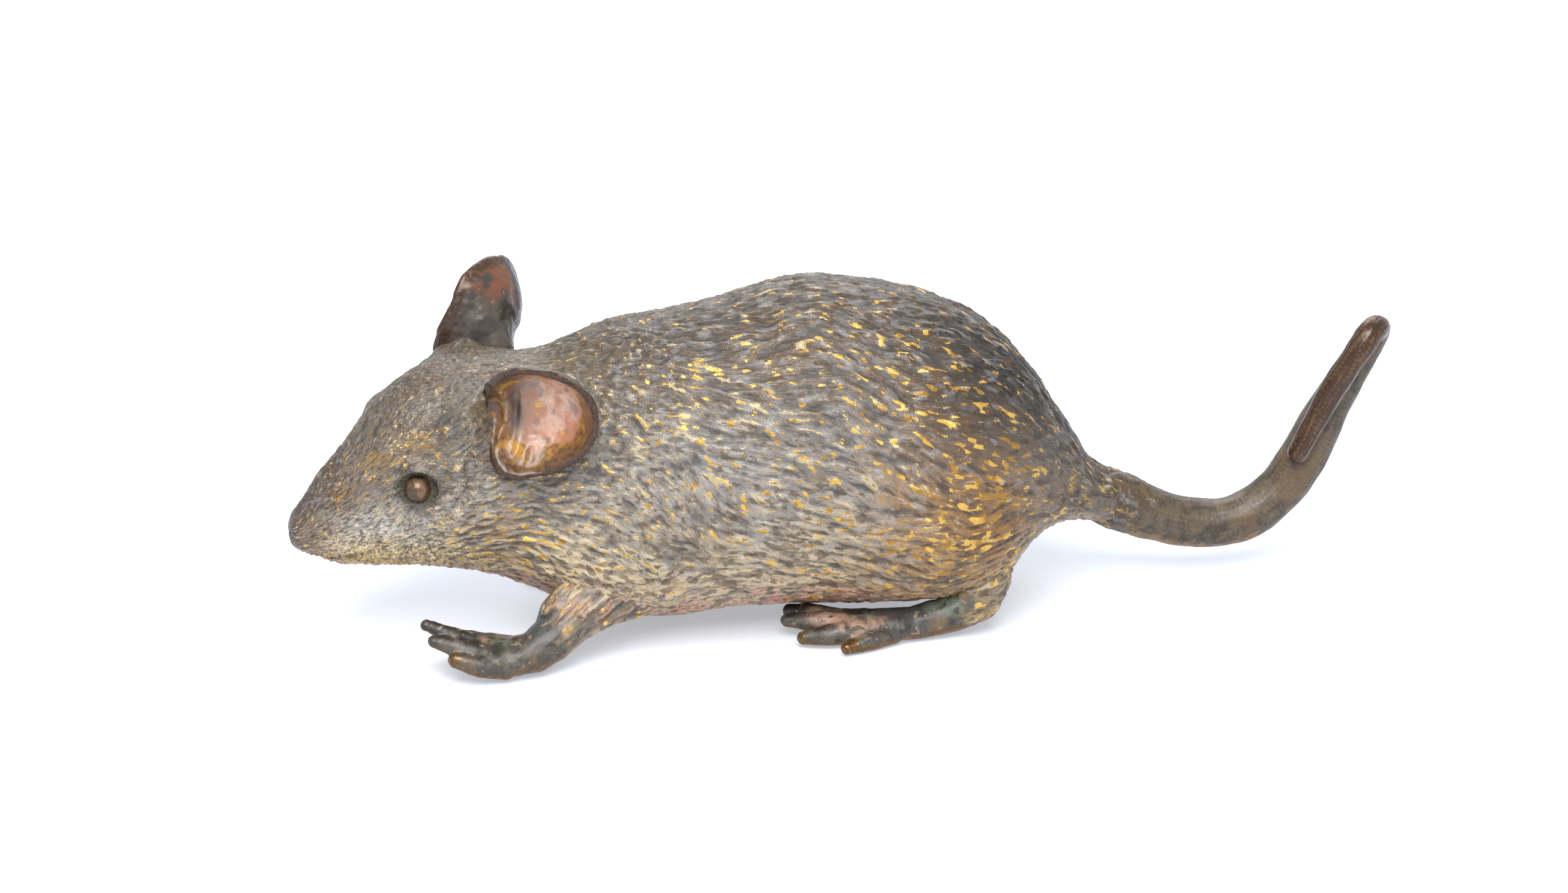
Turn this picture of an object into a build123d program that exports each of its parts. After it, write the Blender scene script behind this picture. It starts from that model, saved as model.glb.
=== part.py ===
from build123d import *
import math
import os

# A small bronze mouse in mid-step, cast in separate pieces and brazed up.
# Millimetres. The nose points along -X, the tail along +X and the left side faces -Y.
# The paws stand on z = 0, and the origin is the middle of the figure's footprint.

# The body as a whole: nose to tail root, ground to the top of the back, across the flanks
body_length = 80.0
back_height = 33.0
body_width = 31.0

# Castings, their walls and the fits between them
body_wall = 2.0
neck_rim_wall = 2.6
spigot_wall = 1.4
spigot_length = 4.0
spigot_land = 2.0
fit_gap = 0.1
overrun = 1.0

# The neck seam: where it crosses the spine, how far it leans and where the head turns
neck_station_share = 0.34
neck_lean = 20.0
head_turn = 3.2
head_roll = 9.0
head_roll_length_share = 0.4
head_yaw = 7.0

# Side and plan outlines of the body. Each pair is the distance behind the nose as a share
# of the body's length, and the height as a share of the back's, or the half width as a
# share of the body's half width.
top_shares = (
    (0.0, 0.385), (0.004, 0.43), (0.016, 0.465), (0.04, 0.545), (0.08, 0.65),
    (0.12, 0.77), (0.17, 0.84), (0.225, 0.865), (0.29, 0.845), (0.35, 0.865),
    (0.42, 0.905), (0.52, 0.945), (0.62, 1.0), (0.70, 0.975), (0.77, 0.93),
    (0.84, 0.845), (0.89, 0.72), (0.93, 0.57), (0.97, 0.42), (1.0, 0.372),
)
bottom_shares = (
    (0.0, 0.385), (0.004, 0.34), (0.016, 0.322), (0.04, 0.29), (0.08, 0.266),
    (0.15, 0.26), (0.22, 0.22), (0.29, 0.14), (0.36, 0.066), (0.43, 0.04),
    (0.52, 0.055), (0.62, 0.05), (0.70, 0.045), (0.77, 0.06), (0.84, 0.14),
    (0.89, 0.228), (0.93, 0.24), (0.97, 0.21), (1.0, 0.185),
)
middle_shares = (
    (0.0, 0.385), (0.016, 0.39), (0.08, 0.43), (0.17, 0.47), (0.29, 0.485),
    (0.43, 0.47), (0.62, 0.465), (0.77, 0.45), (0.84, 0.435), (0.93, 0.36), (1.0, 0.278),
)
width_shares = (
    (0.0, 0.0), (0.004, 0.085), (0.016, 0.15), (0.04, 0.235), (0.08, 0.35),
    (0.12, 0.46), (0.17, 0.56), (0.225, 0.605), (0.29, 0.64), (0.35, 0.705),
    (0.43, 0.82), (0.52, 0.92), (0.62, 0.985), (0.70, 1.0), (0.77, 0.985),
    (0.84, 0.88), (0.89, 0.69), (0.93, 0.48), (0.97, 0.285), (1.0, 0.188),
)
skin_station_shares = (
    0.0003, 0.003, 0.012, 0.03, 0.06, 0.10, 0.16, 0.225, 0.29, 0.36, 0.45,
    0.54, 0.63, 0.71, 0.79, 0.85, 0.90, 0.945, 1.0,
)
core_station_shares = (0.17, 0.225, 0.29, 0.36, 0.45, 0.54, 0.63, 0.71, 0.79, 0.85, 0.88)
section_points = 14
outline_tolerance_share = 0.0001
upper_fullness = 0.95
lower_fullness = 0.90

# Swellings of the flank: station share, angle below the horizontal, spread along the
# body's length, spread round the section, and how far each stands out
haunch_swell = (0.765, -18.0, 0.10, 36.0, 1.0)
shoulder_swell = (0.40, -30.0, 0.075, 34.0, 0.7)
flank_hollow = (0.60, -30.0, 0.055, 34.0, -0.7)

# Ears: a dished leaf on a stalk, with a round tenon through the head wall. Each place is
# the station, the side and the rise as shares of the body's length, half width and back
# height, then the outward lean, the backward lean and how far it faces forward.
ear_width = 10.0
ear_height = 11.2
ear_dish_radius = 7.6
ear_thickness = 0.9
ear_stalk_radius = 2.3
ear_stalk_top_radius = 1.5
ear_stalk_length = 2.4
ear_tenon_radius = 1.1
ear_tenon_length = 4.2
left_ear_place_shares = (0.286, 0.70, 0.755)
left_ear_angles = (10.0, 2.0, 26.0)
right_ear_place_shares = (0.254, 0.54, 0.855)
right_ear_angles = (4.0, 22.0, 40.0)
ear_outline_shares = (
    (0.96, 0.03), (0.88, 0.40), (0.62, 0.72), (0.08, 0.92), (-0.52, 0.94), (-0.94, 0.62),
    (-1.0, 0.08), (-0.92, -0.54), (-0.58, -0.88), (0.04, -0.86), (0.52, -0.62), (0.84, -0.32),
)

# Eyes: turned bronze beads pressed into drilled sockets
eye_station_share = 0.147
eye_angle = 20.0
eye_radius = 1.25
eye_stand_out = 0.35

# Brow ridges from before each eye towards the ear, and a lid round each eye. A brow's places
# are stations along the body, its angles lie above the flank, and its radii are shares of
# the brow's own.
brow_radius = 1.25
brow_stand_out = 0.75
brow_station_shares = (0.094, 0.122, 0.165)
brow_angles = (44.0, 43.0, 41.0)
brow_radius_shares = (0.7, 1.0, 0.8)
lid_radius = 1.75
lid_thickness = 0.45
lid_stand_out = 0.35

# Tail: a tapered rod that runs down from the rump, sweeps up and folds back on itself.
# Each place is a share of the tail's reach behind the rump, of its sway and of its rise.
tail_reach = 25.5
tail_rise = 14.0
tail_sway = 0.4
tail_root_radius = 2.9
tail_top_radius = 1.25
tail_end_radius = 1.0
tail_fold_radius = 1.6
tail_laid_back = 3
tail_route_shares = (
    (-0.06, 0.0, 0.045), (0.03, 0.0, -0.035), (0.135, 0.2, -0.135), (0.28, 0.5, -0.235),
    (0.425, 0.8, -0.26), (0.555, 1.0, -0.20), (0.665, 1.0, -0.055), (0.75, 1.0, 0.14),
    (0.825, 1.0, 0.38), (0.90, 1.0, 0.645), (1.0, 1.0, 1.0),
)
tail_taper_shares = (0.0, 0.05, 0.15, 0.27, 0.36, 0.39, 0.45, 0.57, 0.73, 0.85, 1.0)
tail_fold_way = (-0.5, -0.82, 0.28)
tail_tenon_radius = 1.5
tail_tenon_length = 5.5

# Core plug in the belly and the pins that held the core in the mould
plug_radius = 3.0
plug_lip_radius = 4.0
plug_lip_depth = 1.4
plug_body_depth = 3.0
plug_station_share = 0.60
core_pin_radius = 0.8
core_pin_station_shares = (0.50, 0.74)
core_pin_angle = 58.0

# Limbs. A section whose way is steeper than the upright share is laid out along Y instead.
# Each place is a share of the body's length behind the nose, of its half width, and
# of the back's height that the limb is lifted there: zero where its sole meets the ground.
upright_share = 0.98
sole_cut = 0.15
foreleg_thickness = 6.4
left_foreleg_shares = (
    (0.384, -0.48, 0.105), (0.354, -0.60, 0.06), (0.321, -0.71, 0.035), (0.279, -0.75, 0.01),
    (0.236, -0.75, 0.0), (0.209, -0.73, 0.06),
)
right_foreleg_shares = (
    (0.431, 0.50, 0.105), (0.434, 0.63, 0.06), (0.428, 0.72, 0.035), (0.406, 0.74, 0.01),
    (0.371, 0.74, 0.0), (0.339, 0.73, 0.01),
)
foreleg_width_shares = (1.0, 0.84, 0.69, 0.59, 0.78, 0.84)
foreleg_height_shares = (1.72, 1.34, 0.84, 0.58, 0.60, 0.36)
left_foretoe_shares = (
    (0.185, -0.86, 0.07), (0.169, -0.77, 0.115), (0.161, -0.66, 0.145), (0.178, -0.56, 0.13),
)
right_foretoe_shares = (
    (0.309, 0.58, 0.005), (0.291, 0.67, 0.005), (0.294, 0.78, 0.005), (0.314, 0.865, 0.005),
)
foretoe_radius = 0.95
foretoe_tip_radius = 0.6
hind_thickness = 3.2
hind_shares = (
    (0.794, -0.54, 0.20), (0.815, -0.59, 0.137), (0.811, -0.61, 0.048), (0.779, -0.61, 0.0),
    (0.726, -0.63, 0.0), (0.679, -0.62, 0.0), (0.644, -0.58, 0.0),
)
hind_width_shares = (1.4, 1.15, 1.0, 1.0, 1.06, 1.62, 1.94)
hind_height_shares = (1.7, 1.2, 1.3, 1.1, 0.97, 0.9, 0.7)
hind_toe_start_shares = ((0.689, -0.71), (0.644, -0.68), (0.639, -0.59), (0.644, -0.50), (0.679, -0.52))
hind_toe_tip_shares = ((0.645, -0.84), (0.598, -0.64), (0.585, -0.465), (0.594, -0.315), (0.651, -0.37))
hind_toe_radius = 1.05
hind_toe_tip_radius = 0.72

# Wire dowels that pin each limb to the body wall
dowel_radius = 0.7
dowel_length = 5.0
dowel_gap = 0.05


def through(pairs, place):
    """A smooth curve through hand-set pairs, read at one place."""
    root = [math.sqrt(pair[0]) for pair in pairs]
    here = math.sqrt(place)
    step = 0
    while step < len(pairs) - 2 and here > root[step + 1]:
        step += 1

    def slope(index):
        low = max(index - 1, 0)
        high = min(index + 1, len(pairs) - 1)
        return (pairs[high][1] - pairs[low][1]) / (root[high] - root[low])

    span = root[step + 1] - root[step]
    t = (here - root[step]) / span
    start, end = pairs[step][1], pairs[step + 1][1]
    return (
        (2 * t**3 - 3 * t**2 + 1) * start
        + (t**3 - 2 * t**2 + t) * span * slope(step)
        + (3 * t**2 - 2 * t**3) * end
        + (t**3 - t**2) * span * slope(step + 1)
    )


def swell(station, angle, lump):
    """How far a swelling lifts the skin at a station and an angle round the section."""
    centre, lump_angle, along, round_it, height = lump
    return height * math.exp(-(((station - centre) / along) ** 2) - ((angle - lump_angle) / round_it) ** 2)


def head_pose(station):
    """Side shift and roll of the head, which turns to its left and tips a little."""
    ahead = min(max(1 - station / neck_station_share, 0), 1)
    turned = min(ahead / head_roll_length_share, 1)
    return -head_turn * ahead**1.5, head_roll * turned**2 * (3 - 2 * turned)


def posed(station, y, z):
    """A point of the straight body, carried to its place on the posed one."""
    shift, roll = head_pose(station)
    pivot = through(middle_shares, station) * back_height
    turn = math.radians(roll)
    rise = z - pivot
    return Vector(
        station * body_length,
        y * math.cos(turn) - rise * math.sin(turn) + shift,
        pivot + y * math.sin(turn) + rise * math.cos(turn),
    )


def skin_point(station, angle, inset):
    """A point of the body's skin, or of a core that lies inside it by the inset."""
    middle = through(middle_shares, station) * back_height
    half = through(width_shares, station) * body_width / 2 - inset
    up = through(top_shares, station) * back_height - middle - inset
    down = middle - through(bottom_shares, station) * back_height - inset
    c, s = math.cos(math.radians(angle)), math.sin(math.radians(angle))
    y = half * math.copysign(abs(c) ** upper_fullness, c)
    z = up * abs(s) ** upper_fullness if s > 0 else -down * abs(s) ** lower_fullness
    side_angle = math.degrees(math.asin(s))
    lift = sum(swell(station, side_angle, lump) for lump in (haunch_swell, shoulder_swell, flank_hollow))
    reach = math.hypot(y, z)
    return posed(station, y * (1 + lift / reach), middle + z * (1 + lift / reach))


def body_form(stations, inset):
    """The body's skin, or a core inside it, lofted through closed sections."""
    sections = []
    for station in stations:
        ring = [skin_point(station, 360 * k / section_points, inset) for k in range(section_points)]
        sections.append(make_face(Spline(ring, periodic=True)))
    return Solid.make_loft([section.face().outer_wire() for section in sections])


def neck_plane(offset):
    """The leaning plane of the neck seam, moved along the spine by the offset."""
    lean = math.radians(neck_lean)
    along = Vector(math.cos(lean), 0, -math.sin(lean))
    centre = Vector(
        neck_station_share * body_length, 0, through(middle_shares, neck_station_share) * back_height
    )
    return Plane(centre + along * offset, x_dir=(0, 1, 0), z_dir=along)


def behind(offset):
    """Everything behind the neck plane."""
    size = 2 * body_length
    return neck_plane(offset).location * Box(
        size, size, size, align=(Align.CENTER, Align.CENTER, Align.MIN)
    )


def ball(centre, radius):
    """A ball about a point."""
    return Pos(*centre) * Sphere(radius)


def rod(start, end, radius):
    """A straight round rod from one point to another."""
    way = Vector(*end) - Vector(*start)
    plane = Plane(Vector(*start), z_dir=way)
    return plane.location * Cylinder(radius, way.length, align=(Align.CENTER, Align.CENTER, Align.MIN))


def taper(start, end, start_radius, end_radius):
    """A straight tapered bar with rounded ends, turned about its own axis."""
    way = Vector(*end) - Vector(*start)
    tail, shoulder = (0, -start_radius), (start_radius, 0)
    neck, nose = (end_radius, way.length), (0, way.length + end_radius)
    diagonal = math.sqrt(1 / 2)
    profile = make_face(
        ThreePointArc(tail, (start_radius * diagonal, -start_radius * diagonal), shoulder)
        + Line(shoulder, neck)
        + ThreePointArc(neck, (end_radius * diagonal, way.length + end_radius * diagonal), nose)
        + Line(nose, tail)
    )
    turned = revolve(profile, axis=Axis.Y)
    return Plane(Vector(*start), z_dir=way).location * Rot(X=90) * turned


def limb(stations):
    """A bent limb lofted through ellipses: centre, direction, width and height."""
    wires = []
    for centre, way, width, height in stations:
        side = Vector(*way).cross(Vector(0, 0, 1))
        if abs(Vector(*way).Z) > upright_share:
            side = Vector(0, 1, 0)
        plane = Plane(Vector(*centre), x_dir=side, z_dir=Vector(*way))
        wires.append((plane * Ellipse(width / 2, height / 2)).face().outer_wire())
    return Solid.make_loft(wires)


def directions(places):
    """The way along a row of places, at each of them."""
    ways = []
    for k in range(len(places)):
        low, high = max(k - 1, 0), min(k + 1, len(places) - 1)
        ways.append((Vector(*places[high]) - Vector(*places[low])).normalized())
    return ways


def above_ground(shape):
    """The shape filed flat on the ground plane."""
    size = 2 * body_length
    return shape - Box(size, size, size, align=(Align.CENTER, Align.CENTER, Align.MAX))


def neck_block(inset, start, length):
    """A straight block with the neck seam's own outline, set in by the inset."""
    seam = neck_plane(0)
    ring = []
    for k in range(section_points):
        angle = 360 * k / section_points
        low, high = core_station_shares[0], core_station_shares[-1]
        while high - low > outline_tolerance_share:
            station = (low + high) / 2
            if (skin_point(station, angle, inset) - seam.origin).dot(seam.z_dir) < 0:
                low = station
            else:
                high = station
        ring.append(seam.to_local_coords(skin_point(low, angle, inset)))
    ring = [Vector(point.X, point.Y, 0) for point in ring]
    outline = neck_plane(start).location * make_face(Spline(ring, periodic=True))
    return extrude(outline, amount=length, dir=seam.z_dir)


def radial(station, angle):
    """The skin's point at a station and an angle, and the way straight in from it."""
    point = skin_point(station, angle, 0)
    axis = posed(station, 0, through(middle_shares, station) * back_height)
    return point, (axis - point).normalized()


def brow(side):
    """A brow ridge of the head, mostly sunk in it, over the eye on one side."""
    centres = []
    radii = [brow_radius * share for share in brow_radius_shares]
    for station, angle, radius in zip(brow_station_shares, brow_angles, radii):
        point, inward = radial(station, angle if side > 0 else 180 - angle)
        centres.append(point + inward * (radius - brow_stand_out))
    ends = zip(centres, centres[1:], radii, radii[1:])
    return [taper(*pair).solid() for pair in ends]


def ear(side, place_shares, angles, clear_skin):
    """One ear in its place, clear of the skin: the dished leaf, its stalk, and the tenon apart."""
    station, out, rise = place_shares
    lean, back, facing = (math.radians(angle) for angle in angles)
    centre = posed(station, side * out * body_width / 2, rise * back_height)
    up = Vector(math.sin(back), side * math.sin(lean), math.cos(back)).normalized()
    face = Vector(-math.sin(facing), side * math.cos(facing), 0)
    face = (face - up * face.dot(up)).normalized()
    roll = head_pose(station)[1]
    up = up.rotate(Axis.X, roll).rotate(Axis.Z, head_yaw)
    face = face.rotate(Axis.X, roll).rotate(Axis.Z, head_yaw)
    plane = Plane(centre, x_dir=up.cross(face), z_dir=face)
    outline = [
        Vector(-side * u * ear_width / 2, v * ear_height / 2) for u, v in ear_outline_shares
    ]
    leaf = extrude(make_face(Spline(outline, periodic=True)), amount=ear_dish_radius / 2, both=True)
    dish_depth = ear_dish_radius - math.sqrt(ear_dish_radius**2 - (ear_width / 2) ** 2)
    bowl = Pos(0, 0, ear_dish_radius - dish_depth / 2)
    leaf = leaf & (bowl * Sphere(ear_dish_radius + ear_thickness) - bowl * Sphere(ear_dish_radius))
    leaf = plane.location * leaf
    foot = plane.from_local_coords(
        Vector(side * ear_width / 8, -ear_height / 5, -dish_depth / 2 - ear_stalk_top_radius)
    )
    root = posed(station, 0, through(middle_shares, station) * back_height + ear_height / 4)
    inward = (root - foot).normalized()
    stalk = taper(foot, foot + inward * ear_stalk_length, ear_stalk_top_radius, ear_stalk_radius)
    shape = (leaf - clear_skin) + (stalk - clear_skin)
    return shape, foot - inward * ear_stalk_top_radius / 2, foot + inward * ear_tenon_length


def standing(shares, heights):
    """The centres of a limb's sections, each its own half height above the sole's cut."""
    places = []
    for (station, out, lift), height in zip(shares, heights):
        rise = height / 2 - sole_cut + lift * back_height
        places.append((station * body_length, out * body_width / 2, rise))
    return places


def foreleg(shares, toe_shares):
    """A foreleg: the bent arm, the palm and four toes, and the places of its arm."""
    widths = [foreleg_thickness * share for share in foreleg_width_shares]
    heights = [foreleg_thickness * share for share in foreleg_height_shares]
    places = standing(shares, heights)
    leg = limb(tuple(zip(places, directions(places), widths, heights)))
    tips = standing(toe_shares, [2 * (foretoe_tip_radius + sole_cut)] * len(toe_shares))
    tips.sort(key=lambda tip: tip[1])
    palm = Vector(*places[-1])
    spread = widths[-1] / 2 - foretoe_radius
    toes = []
    for k, tip in enumerate(tips):
        knuckle = palm + Vector(0, spread * (2 * k / (len(tips) - 1) - 1), 0)
        toes.append(taper(knuckle, tip, foretoe_radius, foretoe_tip_radius).solid())
    return above_ground(leg.fuse(*toes)), places


def hind_foot():
    """The left hind foot: the shank, the heel, the long foot and five toes."""
    widths = [hind_thickness * share for share in hind_width_shares]
    heights = [hind_thickness * share for share in hind_height_shares]
    places = standing(hind_shares, heights)
    foot = limb(tuple(zip(places, directions(places), widths, heights)))
    toes = []
    for start, tip in zip(hind_toe_start_shares, hind_toe_tip_shares):
        ends = [
            (station * body_length, out * body_width / 2, radius - sole_cut / 2)
            for (station, out), radius in ((start, hind_toe_radius), (tip, hind_toe_tip_radius))
        ]
        toes.append(taper(*ends, hind_toe_radius, hind_toe_tip_radius).solid())
    return above_ground(foot.fuse(*toes)), places


def tail_route():
    """The centres of the tail's sections, from inside the rump to the top of the fold."""
    rump = through(middle_shares, 1) * back_height
    return [
        (body_length + along * tail_reach, aside * tail_sway, rump + up * tail_rise)
        for along, aside, up in tail_route_shares
    ]


def tail_shape():
    """The tail: the long run, the tight fold at its top and the end laid back along it."""
    route = tail_route()
    ways = directions(route)
    radii = [tail_root_radius + share * (tail_top_radius - tail_root_radius) for share in tail_taper_shares]
    across = [2 * radius for radius in radii]
    run = limb(tuple(zip(route, ways, across, across)))
    top, way = Vector(*route[-1]), ways[-1]
    fold = Vector(*tail_fold_way)
    fold = (fold - way * fold.dot(way)).normalized()
    disc = Plane(top, z_dir=way) * Circle(tail_top_radius)
    bend = revolve(disc, axis=Axis(top + fold * tail_fold_radius, way.cross(fold)), revolution_arc=180)
    back_route = [Vector(*place) + fold * 2 * tail_fold_radius for place in route[: -tail_laid_back - 1 : -1]]
    back_ways = [way * -1] + directions([tuple(place) for place in back_route])[1:]
    rings = []
    for k, (place, back_way) in enumerate(zip(back_route, back_ways)):
        radius = tail_top_radius + (tail_end_radius - tail_top_radius) * k / (tail_laid_back - 1)
        rings.append((Plane(place, z_dir=back_way) * Circle(radius)).face().outer_wire())
    return run + bend + Solid.make_loft(rings) + ball(back_route[-1], tail_end_radius)


def limbs():
    """The four limbs, each with the places that its dowel runs through."""
    hind, places = hind_foot()
    return {
        "left_foreleg": foreleg(left_foreleg_shares, left_foretoe_shares),
        "right_foreleg": foreleg(right_foreleg_shares, right_foretoe_shares),
        "left_hind_foot": (hind, places),
        "right_hind_foot": (mirror(hind, about=Plane.XZ), [(x, -y, z) for x, y, z in places]),
    }


def dowel(places):
    """A wire dowel along the top of a limb, and the hole that takes it."""
    inner, middle = Vector(*places[0]), Vector(*places[1])
    way = (inner - middle).normalized()
    start = middle - way * (dowel_length / 2 - dowel_radius)
    end = start + way * dowel_length
    hole = rod(start - way * dowel_gap, end + way * dowel_gap, dowel_radius + dowel_gap)
    return rod(start, end, dowel_radius), hole


def main():
    skin = body_form(skin_station_shares, 0)
    clear_skin = body_form(skin_station_shares, -fit_gap)
    core = body_form(core_station_shares, body_wall)
    parts = {}
    trunk_cuts = [
        core & behind(spigot_length + spigot_land),
        neck_block(neck_rim_wall, 0, spigot_length + spigot_land + overrun),
    ]
    head_cuts = [
        core - behind(-spigot_land),
        neck_block(
            neck_rim_wall + fit_gap + spigot_wall,
            -spigot_land - overrun,
            spigot_land + spigot_length + 2 * overrun,
        ),
    ]

    # Ears, brazed over their tenons
    for name, side, place_shares, angles in (
        ("left_ear", -1, left_ear_place_shares, left_ear_angles),
        ("right_ear", 1, right_ear_place_shares, right_ear_angles),
    ):
        shape, foot, tip = ear(side, place_shares, angles, clear_skin)
        parts[name] = shape + rod(foot, tip, ear_tenon_radius)
        head_cuts.append(rod(foot, tip + (tip - foot).normalized() * fit_gap, ear_tenon_radius + fit_gap))

    # Eyes in their sockets, with a lid round each
    face_forms = brow(-1) + brow(1)
    for name, angle in (("left_eye", 180 - eye_angle), ("right_eye", eye_angle)):
        point, inward = radial(eye_station_share, angle)
        centre = point + inward * (eye_radius - eye_stand_out)
        parts[name] = ball(centre, eye_radius)
        head_cuts.append(ball(centre, eye_radius + dowel_gap))
        rim = Plane(point + inward * (lid_thickness - lid_stand_out), z_dir=inward)
        face_forms.append(rim.location * Torus(lid_radius, lid_thickness))

    # Limbs, each pinned to the body wall by a wire dowel
    for name, (shape, places) in limbs().items():
        pin, hole = dowel(places)
        parts[name] = shape - clear_skin - hole
        parts[name.replace("_foot", "") + "_dowel"] = pin
        trunk_cuts.append(hole)

    # Tail, whose tenon fills a bore in the rump
    route = tail_route()
    root, way = Vector(*route[1]), directions(route)[0]
    tenon_end = root - way * tail_tenon_length
    parts["tail"] = (tail_shape() - clear_skin) + rod(root, tenon_end, tail_tenon_radius)
    trunk_cuts.append(rod(root, tenon_end - way * fit_gap, tail_tenon_radius + fit_gap))

    # Core plug in the belly, let in from outside against a step
    plug_x = plug_station_share * body_length
    belly = through(bottom_shares, plug_station_share) * back_height
    under = (plug_x, 0, belly - overrun)
    step = (plug_x, 0, belly + plug_lip_depth)
    inside = (plug_x, 0, belly + plug_body_depth)
    parts["belly_plug"] = (rod(under, step, plug_lip_radius) & skin) + rod(step, inside, plug_radius)
    trunk_cuts.append(rod(under, step, plug_lip_radius + fit_gap))
    trunk_cuts.append(rod(under, inside, plug_radius + fit_gap))

    # Core pins, filed flush with the back
    pins = []
    for station in core_pin_station_shares:
        for angle in (core_pin_angle, 180 - core_pin_angle):
            point, inward = radial(station, angle)
            ends = point - inward * overrun, point + inward * body_wall
            pins.append(rod(*ends, core_pin_radius) & skin)
            trunk_cuts.append(rod(ends[0], ends[1] + inward * overrun, core_pin_radius + dowel_gap))
    parts["core_pins"] = Compound(pins)

    # Trunk and head castings, which meet at the neck seam
    parts["trunk"] = (skin & behind(0)).cut(*[cut for tool in trunk_cuts for cut in tool.solids()])
    head = (skin - behind(0)).fuse(neck_block(neck_rim_wall + fit_gap, 0, spigot_length), *face_forms)
    parts["head"] = head.cut(*[cut for tool in head_cuts for cut in tool.solids()])

    # Every piece moves together, so that the origin lies in the middle of the footprint
    box = Compound([Compound(shape.solids()) for shape in parts.values()]).bounding_box()
    middle = Pos(-box.center().X, -box.center().Y, 0)
    os.makedirs("parts", exist_ok=True)
    for name, shape in parts.items():
        export_step(middle * Compound(shape.solids()), f"parts/{name}.step")
    print("moved by", -box.center().X, -box.center().Y, "size", box.size)


main()
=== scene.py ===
import bmesh
import bpy
import itertools
import math
import numpy as np
from mathutils import Matrix, Vector


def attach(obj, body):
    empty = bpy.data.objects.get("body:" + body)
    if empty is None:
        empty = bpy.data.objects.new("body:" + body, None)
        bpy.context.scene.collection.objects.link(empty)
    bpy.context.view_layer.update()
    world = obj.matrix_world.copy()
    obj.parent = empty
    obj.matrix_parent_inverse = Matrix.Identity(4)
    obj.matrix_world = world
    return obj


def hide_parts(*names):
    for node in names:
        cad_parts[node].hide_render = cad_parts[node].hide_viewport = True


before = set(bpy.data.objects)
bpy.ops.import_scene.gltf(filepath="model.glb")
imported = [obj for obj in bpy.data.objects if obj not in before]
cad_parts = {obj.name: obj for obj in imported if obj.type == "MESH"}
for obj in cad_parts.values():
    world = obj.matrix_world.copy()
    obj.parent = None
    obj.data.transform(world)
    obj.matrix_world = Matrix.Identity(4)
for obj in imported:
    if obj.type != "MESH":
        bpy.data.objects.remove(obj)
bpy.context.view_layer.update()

# The body skin: two hollow bronze castings, brazed behind the ears and chased over as one. All
# of it carries short fur strokes, painted cold in greys, ochre and cream, then rubbed on the
# ridges until the bronze shows. Sizes are in millimetres here, and each piece ends in metres.
mm = 0.001
nose_x = -53.524
body_length, back_height, body_half_width = 80.0, 33.0, 15.5
skin_rings, skin_facets = 344, 536
ring_shares = (
    (0.0, 0.0), (0.04, 0.004), (0.08, 0.014), (0.13, 0.038), (0.20, 0.08), (0.295, 0.145),
    (0.40, 0.23), (0.50, 0.34), (0.60, 0.46), (0.71, 0.60), (0.82, 0.74), (0.92, 0.885),
    (0.97, 0.96), (1.0, 1.0),
)
top_shares = (
    (0.0, 0.385), (0.004, 0.43), (0.016, 0.465), (0.04, 0.545), (0.08, 0.65),
    (0.12, 0.77), (0.17, 0.84), (0.225, 0.865), (0.29, 0.845), (0.35, 0.865),
    (0.42, 0.905), (0.52, 0.945), (0.62, 1.0), (0.70, 0.975), (0.77, 0.93),
    (0.84, 0.845), (0.89, 0.72), (0.93, 0.57), (0.97, 0.42), (1.0, 0.372),
)
bottom_shares = (
    (0.0, 0.385), (0.004, 0.34), (0.016, 0.322), (0.04, 0.29), (0.08, 0.266),
    (0.15, 0.26), (0.22, 0.22), (0.29, 0.14), (0.36, 0.066), (0.43, 0.04),
    (0.52, 0.055), (0.62, 0.05), (0.70, 0.045), (0.77, 0.06), (0.84, 0.14),
    (0.89, 0.228), (0.93, 0.24), (0.97, 0.21), (1.0, 0.185),
)
middle_shares = (
    (0.0, 0.385), (0.016, 0.39), (0.08, 0.43), (0.17, 0.47), (0.29, 0.485),
    (0.43, 0.47), (0.62, 0.465), (0.77, 0.45), (0.84, 0.435), (0.93, 0.36), (1.0, 0.278),
)
width_shares = (
    (0.0, 0.0), (0.004, 0.085), (0.016, 0.15), (0.04, 0.235), (0.08, 0.35),
    (0.12, 0.46), (0.17, 0.56), (0.225, 0.605), (0.29, 0.64), (0.35, 0.705),
    (0.43, 0.82), (0.52, 0.92), (0.62, 0.985), (0.70, 1.0), (0.77, 0.985),
    (0.84, 0.88), (0.89, 0.69), (0.93, 0.48), (0.97, 0.285), (1.0, 0.188),
)
upper_fullness, lower_fullness = 0.95, 0.90
# Haunch, shoulder and the hollow between: station, degrees below the flank, spreads and height
flank_swells = (
    (0.765, -18.0, 0.10, 36.0, 1.0), (0.40, -30.0, 0.075, 34.0, 0.7), (0.60, -30.0, 0.055, 34.0, -0.7),
)
neck_station, neck_lean = 0.34, 20.0
head_turn, head_roll, head_roll_length = 3.2, 9.0, 0.4
plug_station, plug_radius = 0.60, 4.05


def bend(t, span, value, slope, step):
    """A smooth bend from one set value to the next, along the slopes at both."""
    return (
        (2 * t**3 - 3 * t**2 + 1) * value[step] + (t**3 - 2 * t**2 + t) * span * slope[step]
        + (3 * t**2 - 2 * t**3) * value[step + 1] + (t**3 - t**2) * span * slope[step + 1]
    )


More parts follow.
